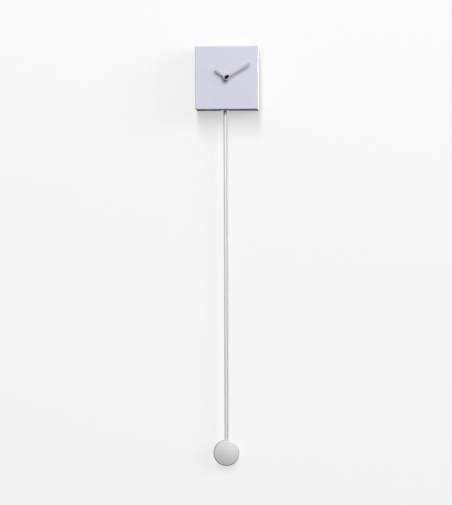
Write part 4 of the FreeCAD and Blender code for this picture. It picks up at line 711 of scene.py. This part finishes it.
HOUR_BACK, MINUTE_BACK = -54.4, -56.9
hour_bar = ridged_bar("hour_hand_brushed", HOUR_ANGLE, length=23.5, width=5.0, back=HOUR_BACK)
hour_hand = bossed_hand(hour_bar, HOUR_BACK, boss=4.6, boss_front=-55.2, collar=3.5,
                        collar_back=span("hour_hand")[1][1], bore=2.6)
fit(hour_hand, "hour_group", hour_silver, "hand_silver", "hour_hand")
minute_bar = ridged_bar("minute_hand_brushed", MINUTE_ANGLE, length=48.5, width=4.2, back=MINUTE_BACK)
minute_hand = bossed_hand(minute_bar, MINUTE_BACK, boss=5.5, boss_front=-57.7, collar=2.7,
                          collar_back=span("minute_hand")[1][1], bore=1.8)
fit(minute_hand, "minute_group", minute_silver, "hand_silver", "minute_hand")

# %% The black cap nut
DOME_SHARE, DOME_DROP, DOME_STEPS = 0.8, 0.12, 8
CAP_EDGE, CAP_SHOULDER = 0.45, 0.15
STUD, STUD_END = 1.2, -59.4
cap_lo, cap_hi = span("hand_cap")
cap_radius = (cap_hi[0] - cap_lo[0]) / 2
turns = [tau / 4 * k / DOME_STEPS for k in range(DOME_STEPS + 1)]
dome = [(cap_radius * sin(t) * DOME_SHARE, cap_lo[1] + DOME_DROP * (1 - cos(t))) for t in turns]
side = eased([dome[-1], (cap_radius, cap_lo[1] + CAP_SHOULDER), (cap_radius, cap_hi[1]),
              (STUD + CAP_SHOULDER, cap_hi[1])], CAP_EDGE, 4)
bore = [(STUD, cap_hi[1] - CAP_SHOULDER), (STUD, STUD_END), (0, STUD_END)]
cap = turned("black_cap_nut", [(0, cap_lo[1])] + dome[1:] + side[1:] + bore, HANDS_CENTRE)
fit(cap, "minute_group", gloss_black, "gloss_black", "hand_cap")

# %% [markdown]
# ## The rod
# A drawn aluminium tube, chamfered where it was parted off, hangs from a flat steel hook. The hook
# is riveted through the tube. Drawing leaves fine lines along the tube, so its grain is stretched
# fifty times along its length.

# %% Draw the rod
ROD, ROD_BORE, RIVET = 3.0, 2.2, 0.8
ROD_CHAMFER, BORE_CHAMFER, BORE_LIP, TURNED_END = 0.25, 0.2, 0.15, 0.3
LENGTH_STEPS = 40
RIVET_DRILL = (-20.0, -8.0)
rod_lo, rod_hi = span("pendulum_rod")
low, drawn = rod_lo[2] + TURNED_END, rod_hi[2] - rod_lo[2] - 2 * TURNED_END
bore = [(ROD_BORE, rod_hi[2] - BORE_LIP), (ROD_BORE, rod_lo[2] + BORE_LIP),
        (ROD_BORE + BORE_CHAMFER, rod_lo[2]), (ROD - ROD_CHAMFER, rod_lo[2])]
outside = [(ROD, low + drawn * k / LENGTH_STEPS) for k in range(LENGTH_STEPS + 1)]
top = [(ROD - ROD_CHAMFER, rod_hi[2]), (ROD_BORE + BORE_CHAMFER, rod_hi[2])]
rod = turned("drawn_rod", bore + outside + top, (rod_axis[0], rod_axis[1], 0), along="z",
             steps=64, ring=True)
rivet_at = middle("rod_rivet")
cut_out(rod, pin("rivet_hole", RIVET, *RIVET_DRILL, (rivet_at[0], 0, rivet_at[2]), steps=32))
fit(rod, "pendulum", rod_metal, "rod_metal", "pendulum_rod")

# %% [markdown]
# ## The bob
# The bob's front is pressed from sheet: a shallow crown, a small rolled edge and a straight side
# that the rod enters. It could be a squashed sphere, but the crown would then have no edge to
# catch the light. Its section is drawn as two arcs, and turned. A flat plate closes the back.

# %% Draw the section of the bob's front
EDGE, CROWN, BOB_SHEET = 3.5, 2.5, 1.2
CROWN_STEPS, EDGE_STEPS = 20, 12
bob_lo, bob_hi = span("bob_front_shell")
BOB = (bob_hi[0] - bob_lo[0]) / 2
edge_y = bob_lo[1] + CROWN + EDGE

def bob_section(inset, back):
    """From the axis at the crown, over the rolled edge, to the back of the side."""
    flat, roll = BOB - EDGE, EDGE - inset
    crown = bob_lo[1] + inset
    drop = edge_y - roll - crown
    ball = (flat ** 2 + drop ** 2) / (2 * drop)
    reaches = [flat * k / CROWN_STEPS for k in range(CROWN_STEPS + 1)]
    over = [(reach, crown + ball - sqrt(ball ** 2 - reach ** 2)) for reach in reaches]
    turns = [tau / 4 * k / EDGE_STEPS for k in range(1, EDGE_STEPS + 1)]
    rolled = [(flat + roll * sin(t), edge_y - roll * cos(t)) for t in turns]
    return over + rolled + [(BOB - inset, back)]

print("bob", round(2 * BOB, 1), "mm across, crown", CROWN, "mm, rolled edge", EDGE, "mm")

# %% Press the bob's front
BOB_LIP, ROD_ROOM, DRILL_PAST = 0.15, 0.1, 3.0
outer = bob_section(0.0, bob_hi[1] - BOB_LIP)
inner = bob_section(BOB_SHEET, bob_hi[1] - BOB_LIP)
lip = [(BOB - BOB_LIP, bob_hi[1]), (BOB - BOB_SHEET + BOB_LIP, bob_hi[1])]
bob = turned("pressed_bob", outer + lip + inner[::-1], BOB_CENTRE, steps=128)
cut_out(bob, pin("rod_hole", ROD + ROD_ROOM, 0, BOB + DRILL_PAST,
                 (rod_axis[0], rod_axis[1], BOB_AXIS[2]), along="z", steps=64))
fit(bob, "pendulum", bob_metal, "bob_metal", "bob_front_shell")

# %% Turn the bob's back plate
BACK_HOLE, BACK_EDGE = 1.6, 0.25
back_lo, back_hi = span("bob_back_plate")
back_radius = (back_hi[0] - back_lo[0]) / 2
back_plate = eased_ring("bob_back_turned", BACK_HOLE, back_radius, back_hi[1], back_lo[1], BACK_EDGE,
                        BOB_CENTRE, steps=128)
fit(back_plate, "pendulum", bob_metal, "bob_metal", "bob_back_plate")

# %% Turn its clamp screw
CLAMP, CLAMP_TIP, CLAMP_ROOT, CLAMP_NECK = 1.5, 1.1, 0.28, 0.2
CLAMP_PITCH, CLAMP_MARGIN = 0.5, 0.3
HEAD_SIDE, HEAD_CROWN, CROWN_IN, HEAD_EDGE = 1.2, 1.8, 0.6, 0.25
SLOT_LONG, SLOT_THIN, SLOT_FLOOR, SLOT_OPEN = 3.5, 0.35, 1.1, 3
clamp_lo, clamp_hi = span("bob_screw")
head_radius = (clamp_hi[0] - clamp_lo[0]) / 2
under_head = back_hi[1]
rings = along_thread(clamp_lo[1] + CLAMP_MARGIN, under_head - CLAMP_MARGIN, CLAMP_PITCH)
shank = [(0, clamp_lo[1]), (CLAMP_TIP, clamp_lo[1])] + [(CLAMP, y) for y in rings]
head = eased([(CLAMP - CLAMP_NECK, under_head), (head_radius, under_head),
              (head_radius, under_head + HEAD_SIDE),
              (head_radius - CROWN_IN, under_head + HEAD_CROWN), (0, clamp_hi[1])], HEAD_EDGE)
clamp = turned("bob_clamp_screw", shank + head, BOB_CENTRE, steps=64,
               radius_at=thread_radius(CLAMP - CLAMP_ROOT, CLAMP, CLAMP_PITCH))
slot_low = (BOB_AXIS[0] - SLOT_LONG, under_head + SLOT_FLOOR, BOB_AXIS[2] - SLOT_THIN)
slot_high = (BOB_AXIS[0] + SLOT_LONG, under_head + SLOT_OPEN, BOB_AXIS[2] + SLOT_THIN)
cut_out(clamp, block("slot", slot_low, slot_high))
fit(clamp, "pendulum", zinc_steel, "zinc_steel", "bob_screw")

# %% [markdown]
# ## The battery
# One plain cell lies across the movement. A cell is a steel can in a printed jacket: the jacket is
# rolled over the can's shoulders, and bright metal shows only at the two ends. It carries no mark
# here, only a band of a second colour.

# %% Print the jacket's two colours
BAND_START, BAND_FULL = 10.5, 10.8
BAND_TONE = (0.42, 0.36, 0.22, 1)
jacket_finish = finish("printed jacket", (0.025, 0.055, 0.045), wander=0.08, patch=70,
                       rough=(0.18, 0.28), grain=600, bump=0.02, coat=0.3, wear=0.4,
                       wear_colour=(0.3, 0.32, 0.3))
tree = jacket_finish.node_tree
where = tree.nodes.new("ShaderNodeSeparateXYZ")
feed(tree, where.inputs[0], tree.nodes["Texture Coordinate"].outputs["Object"])
band = node_of(tree, "ShaderNodeMapRange", From_Min=BAND_START * MM, From_Max=BAND_FULL * MM)
feed(tree, band.inputs["Value"], where.outputs["X"])
overlay(jacket_finish, band.outputs["Result"], BAND_TONE)
print("the band starts", BAND_START, "mm right of the middle")

# %% Roll the battery's jacket
NUB, NUB_LENGTH = 2.7, 1.2
JACKET_LIP, JACKET_SHOULDER, JACKET_SHEET, JACKET_GAP, JACKET_EDGE = 1.3, 1.6, 0.25, 0.1, 0.7
cell_lo, cell_hi = span("aa_battery")
cell_radius = (cell_hi[1] - cell_lo[1]) / 2
cell_middle = middle("aa_battery")
cell_axis = (0, cell_middle[1], cell_middle[2])
foot, shoulder = cell_lo[0], cell_hi[0] - NUB_LENGTH
lip, neck = cell_radius - JACKET_LIP, cell_radius - JACKET_SHOULDER
skin = eased([(lip, foot + JACKET_GAP), (cell_radius, foot + JACKET_GAP),
              (cell_radius, shoulder - JACKET_GAP), (neck, shoulder - JACKET_GAP)], JACKET_EDGE, 6)
lining = [(neck, shoulder - JACKET_GAP - JACKET_SHEET), (lip, foot + JACKET_GAP + JACKET_SHEET)]
jacket = turned("battery_jacket_rolled", skin + lining, cell_axis, along="x", ring=True)
fit(jacket, "clock_case", jacket_finish, "battery_jacket", "aa_battery")

# %% Turn the can, its foot and its nub
FOOT_FLAT, FOOT_IN, FOOT_OUT, CAN_WALL = 2.4, 2.2, 1.6, 1.4
FOOT_SUNK, FOOT_RISE, CAN_SUNK = 0.05, 0.2, 0.4
STEP_OUT, STEP_IN, NUB_FILLET, NUB_EDGE = 1.4, 1.2, 0.1, 0.25
can_wall = cell_radius - CAN_WALL
can_foot = [(0, foot + FOOT_SUNK), (cell_radius - FOOT_FLAT, foot + FOOT_SUNK),
            (cell_radius - FOOT_IN, foot), (cell_radius - FOOT_OUT, foot), (can_wall, foot + FOOT_RISE)]
can_top = [(can_wall, shoulder - CAN_SUNK), (NUB + STEP_OUT, shoulder - CAN_SUNK),
           (NUB + STEP_IN, shoulder - NUB_FILLET), (NUB + NUB_FILLET, shoulder - NUB_FILLET)]
nub = [(NUB, shoulder + NUB_FILLET), (NUB, cell_hi[0] - NUB_EDGE), (NUB - NUB_EDGE, cell_hi[0]),
       (0, cell_hi[0])]
can = turned("battery_can", can_foot + can_top + nub, cell_axis, along="x")
fit(can, "clock_case", steel, "steel")

# %% [markdown]
# ## The setting knob
# The knob on the back of the movement turns the hands. It is moulded with finger grooves. The
# grooves could be cut one by one, but a lathe whose radius dips eighteen times a turn gives the
# same shape with clean, even faces.

# %% Mould the setting knob
KNOB, GROOVES, GROOVE_DEPTH, GROOVED_FROM = 5.0, 18, 0.35, 0.7
KNOB_BORE, DISH, DISH_FLOOR, DISH_DEPTH, KNOB_EDGE = 1.5, 3.6, 3.3, 0.5, 0.4
knob_lo, knob_hi = span("setting_knob")
knob_middle = middle("setting_knob")

def grooved(radius, reach, angle):
    if radius < KNOB - GROOVED_FROM:
        return radius
    return radius - GROOVE_DEPTH * max(0.0, cos(angle * GROOVES)) ** 3

rim = eased([(KNOB_BORE, knob_lo[1]), (KNOB, knob_lo[1]), (KNOB, knob_hi[1]), (DISH, knob_hi[1]),
             (DISH_FLOOR, knob_hi[1] - DISH_DEPTH), (0, knob_hi[1] - DISH_DEPTH)], KNOB_EDGE, 4)
knob = turned("grooved_knob", [(0, knob_lo[1])] + rim, (knob_middle[0], 0, knob_middle[2]),
              steps=180, radius_at=grooved)
fit(knob, "setting_group", bobbin_plastic, "bobbin_plastic", "setting_knob")

# %% [markdown]
# ## Parts that keep their mechanical shape
# Housings, gears, the motor and the pendulum's arm already have their real shape. They keep it,
# and get eased edges from modifiers and a finish each. Flat facets are joined first, so that the
# bevel runs cleanly round each edge.

# %% Dress the remaining parts
FINISH_OF = {
    "black_moulding": black_moulding, "white_gear": white_gear, "rubber": rubber, "steel": steel,
    "cast_zinc": cast_zinc, "copper": copper, "dark_magnet": dark_magnet, "board": board,
    "resin": resin, "bobbin_plastic": bobbin_plastic, "brass": brass, "zinc_steel": zinc_steel,
}
EASE = {"movement_front_housing": 0.3, "movement_rear_cover": 0.3, "pendulum_arm": 0.35,
        "rod_hook": 0.15, "stepper_bobbin": 0.2, "hook_pin": 0.15, "pivot_clip": 0.08,
        "pendulum_magnet": 0.2, "bob_weight": 0.4, "rubber_gasket": 0.2}
FINE_EASE, SAME_POINT = 0.06, 1e-6
SAME_PLANE, ROUNDED_FROM = radians(0.5), radians(40)
dressed = 0
for name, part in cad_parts.items():
    if part.hide_render:
        continue
    slot = part.material_slots[0]
    slot.material = FINISH_OF[slot.material.name.split(".")[0]]
    part.modifiers.new("joined facets", "WELD").merge_threshold = SAME_POINT
    flat = part.modifiers.new("flat faces", "DECIMATE")
    flat.decimate_type, flat.angle_limit = "DISSOLVE", SAME_PLANE
    edge = part.modifiers.new("eased edges", "BEVEL")
    edge.width, edge.segments = EASE.get(name, FINE_EASE) * MM, 2
    edge.limit_method, edge.angle_limit = "ANGLE", ROUNDED_FROM
    part.modifiers.new("even shading", "WEIGHTED_NORMAL").keep_sharp = True
    dressed += 1
print(dressed, "parts dressed")

# %% [markdown]
# ## The wall and the light
# The clock hangs on a plain pale wall. Part of the wall's tone is painted light, a glow of its own,
# which stops behind the case as painted shade, and lamps in front of it add the rest and the soft
# shadows. The wall, the rod, the bob and the case each need their own amount of light, so most
# lamps are linked to some of them only. The room below is darker than the room above, and that
# shades the underside of the case and the lower part of the bob. The wall shows only its front, so
# that the clock can be seen from behind.

# %% Put up the wall
WALL_HALF, WALL_BACK = 6.0, 0.0006
WALL_GLOW, WALL_PAINT, WALL_COOL = 0.475, 0.25, 1.003
corners = [(x * WALL_HALF, WALL_BACK, z * WALL_HALF) for x, z in ((-1, -1), (1, -1), (1, 1), (-1, 1))]
wall = from_points("pale_wall", corners, [[0, 1, 2, 3]])
if wall.data.polygons[0].normal.y > 0:
    wall.data.flip_normals()
paint = bpy.data.materials.new("pale wall paint")
paint.use_nodes = True
tree = paint.node_tree
tree.nodes.clear()
wall_place = tree.nodes.new("ShaderNodeTexCoord").outputs["Object"]
roller = node_of(tree, "ShaderNodeTexNoise", Scale=260.0, Detail=3.0)
feed(tree, roller.inputs["Vector"], wall_place)
nap = node_of(tree, "ShaderNodeBump", Strength=0.03, Distance=0.0003)
feed(tree, nap.inputs["Height"], roller.outputs["Fac"])
matt = node_of(tree, "ShaderNodeBsdfDiffuse", Roughness=0.6,
               Color=(WALL_PAINT, WALL_PAINT, WALL_PAINT * WALL_COOL, 1))
feed(tree, matt.inputs["Normal"], nap.outputs["Normal"])
wall.data.materials.append(paint)
wall.visible_diffuse = wall.visible_glossy = False
wall.visible_transmission = wall.visible_shadow = False
print("wall", 2 * WALL_HALF, "m across")

# %% Paint a glow on the wall, left out behind the case as painted shade
GLOW_EDGE = 2.5
# The wall's glow is painted light, and leaving it out behind the case is painted shade.
glow = node_of(tree, "ShaderNodeEmission", Color=(1, 1, WALL_COOL, 1))
on_wall = tree.nodes.new("ShaderNodeSeparateXYZ")
feed(tree, on_wall.inputs[0], wall_place)

def outside_case(axis, centre, half):
    """0 behind the case, where the glow is left out as painted shade, and 1 beyond its edge, along one
    axis.
    """
    away = sum_of(tree, "SUBTRACT", on_wall.outputs[axis], centre * MM)
    size = sum_of(tree, "ABSOLUTE", away.outputs[0])
    past = node_of(tree, "ShaderNodeMapRange", From_Min=(half - GLOW_EDGE) * MM, From_Max=half * MM)
    feed(tree, past.inputs["Value"], size.outputs[0])
    return past.outputs["Result"]

case_middle, case_half = (case_lo[2] + case_hi[2]) / 2, (case_hi[2] - case_lo[2]) / 2
beside = outside_case("X", 0.0, case_hi[0])
above = outside_case("Z", case_middle, case_half)
painted_glow_mask = sum_of(tree, "MAXIMUM", beside, above)
feed(tree, glow.inputs["Strength"], sum_of(tree, "MULTIPLY", painted_glow_mask.outputs[0], WALL_GLOW).outputs[0])
lit = tree.nodes.new("ShaderNodeAddShader")
feed(tree, lit.inputs[0], matt.outputs[0])
feed(tree, lit.inputs[1], glow.outputs[0])
print("glow of", WALL_GLOW, "outside the case")

# %% Show the wall from its front only
one_sided = tree.nodes.new("ShaderNodeMixShader")
feed(tree, one_sided.inputs[0], tree.nodes.new("ShaderNodeNewGeometry").outputs["Backfacing"])
feed(tree, one_sided.inputs[1], lit.outputs[0])
feed(tree, one_sided.inputs[2], tree.nodes.new("ShaderNodeBsdfTransparent").outputs[0])
out = tree.nodes.new("ShaderNodeOutputMaterial")
feed(tree, out.inputs["Surface"], one_sided.outputs[0])
print("the paint has", len(tree.nodes), "nodes")

# %% Helpers for lights
AIM = (0.0, 0.0, -0.15)

def lamp(name, toward, distance, size, power, aim=AIM):
    """A soft box in the given direction from the aim; size is its width and height in metres."""
    light = bpy.data.lights.new(name, "AREA")
    light.shape, light.energy = "RECTANGLE", power
    light.size, light.size_y = size
    holder = bpy.data.objects.new(name, light)
    centre = Vector(aim)
    holder.location = centre + Vector(toward).normalized() * distance
    holder.rotation_euler = (centre - holder.location).to_track_quat("-Z", "Y").to_euler()
    scene.collection.objects.link(holder)
    return holder

def linked(holder, pieces, wanted, role="receiver_collection"):
    """Lets a light reach (or be blocked by) only those pieces, or everything but them."""
    group = bpy.data.collections.new(holder.name + " " + role)
    for piece in pieces:
        group.objects.link(piece)
    for link in group.collection_objects:
        link.light_linking.link_state = "INCLUDE" if wanted else "EXCLUDE"
    setattr(holder.light_linking, role, group)

print("lamps aim at", AIM, "m")

# %% Hang the lights
key = lamp("key_light", (0.42, -1.0, 0.72), distance=4.0, size=(2.6, 2.6), power=164.0)
rake = lamp("raking_light", (2.1, -1.0, 0.6), distance=3.5, size=(1.0, 1.0), power=18.0)
for holder in (key, rake):
    linked(holder, (wall, rod, bob), False)
linked(lamp("bob_light", (0.62, -1.0, 1.05), distance=4.0, size=(2.2, 2.2), power=190.0), (bob,), True)
low = lamp("rod_light", (0.16, -1.0, 0.3), distance=4.0, size=(3.2, 0.8), power=142.0, aim=(0, 0, -0.4))
linked(low, (rod,), True)
tall = lamp("wall_tall_light", (-0.06, -1.0, 0.46), distance=4.0, size=(0.7, 4.0), power=310.0)
linked(tall, (wall,), True)
linked(tall, (bob,), False, "blocker_collection")
side = lamp("wall_side_light", (1.9, -1.0, 0.6), distance=4.0, size=(1.6, 1.6), power=95.0)
linked(side, (wall,), True)
lamp("rear_light", (0.5, 1.0, 0.25), distance=3.0, size=(2.0, 2.0), power=75.0)
print(len(bpy.data.lights), "lights")

# %% Light the room itself
LOWEST, LOW = (0.13, 0.115, 0.11, 1), (0.16, 0.145, 0.14, 1)
HIGH, HIGHEST = (0.46, 0.46, 0.465, 1), (0.62, 0.62, 0.63, 1)
LOW_AT, HIGH_AT = 0.40, 0.58
BACKDROP = (0.86, 0.86, 0.865, 1)
room = bpy.data.worlds.new("pale room")
scene.world = room
room.use_nodes = True
tree = room.node_tree
tree.nodes.clear()
split = tree.nodes.new("ShaderNodeSeparateXYZ")
feed(tree, split.inputs[0], tree.nodes.new("ShaderNodeTexCoord").outputs["Generated"])
height = node_of(tree, "ShaderNodeMapRange", From_Min=-1.0, From_Max=1.0)
feed(tree, height.inputs["Value"], split.outputs["Z"])
sky = tree.nodes.new("ShaderNodeValToRGB")
stops = sky.color_ramp.elements
stops[0].position, stops[0].color = 0.0, LOWEST
stops[1].position, stops[1].color = 1.0, HIGHEST
for at, tone in ((LOW_AT, LOW), (HIGH_AT, HIGH)):
    stops.new(at).color = tone
feed(tree, sky.inputs["Fac"], height.outputs["Result"])
seen = tree.nodes.new("ShaderNodeLightPath").outputs["Is Camera Ray"]
air = tree.nodes.new("ShaderNodeBackground")
feed(tree, air.inputs["Color"], colour_mix(tree, seen, sky.outputs["Color"], BACKDROP))
end = tree.nodes.new("ShaderNodeOutputWorld")
feed(tree, end.inputs["Surface"], air.outputs[0])
print("room lit from above")
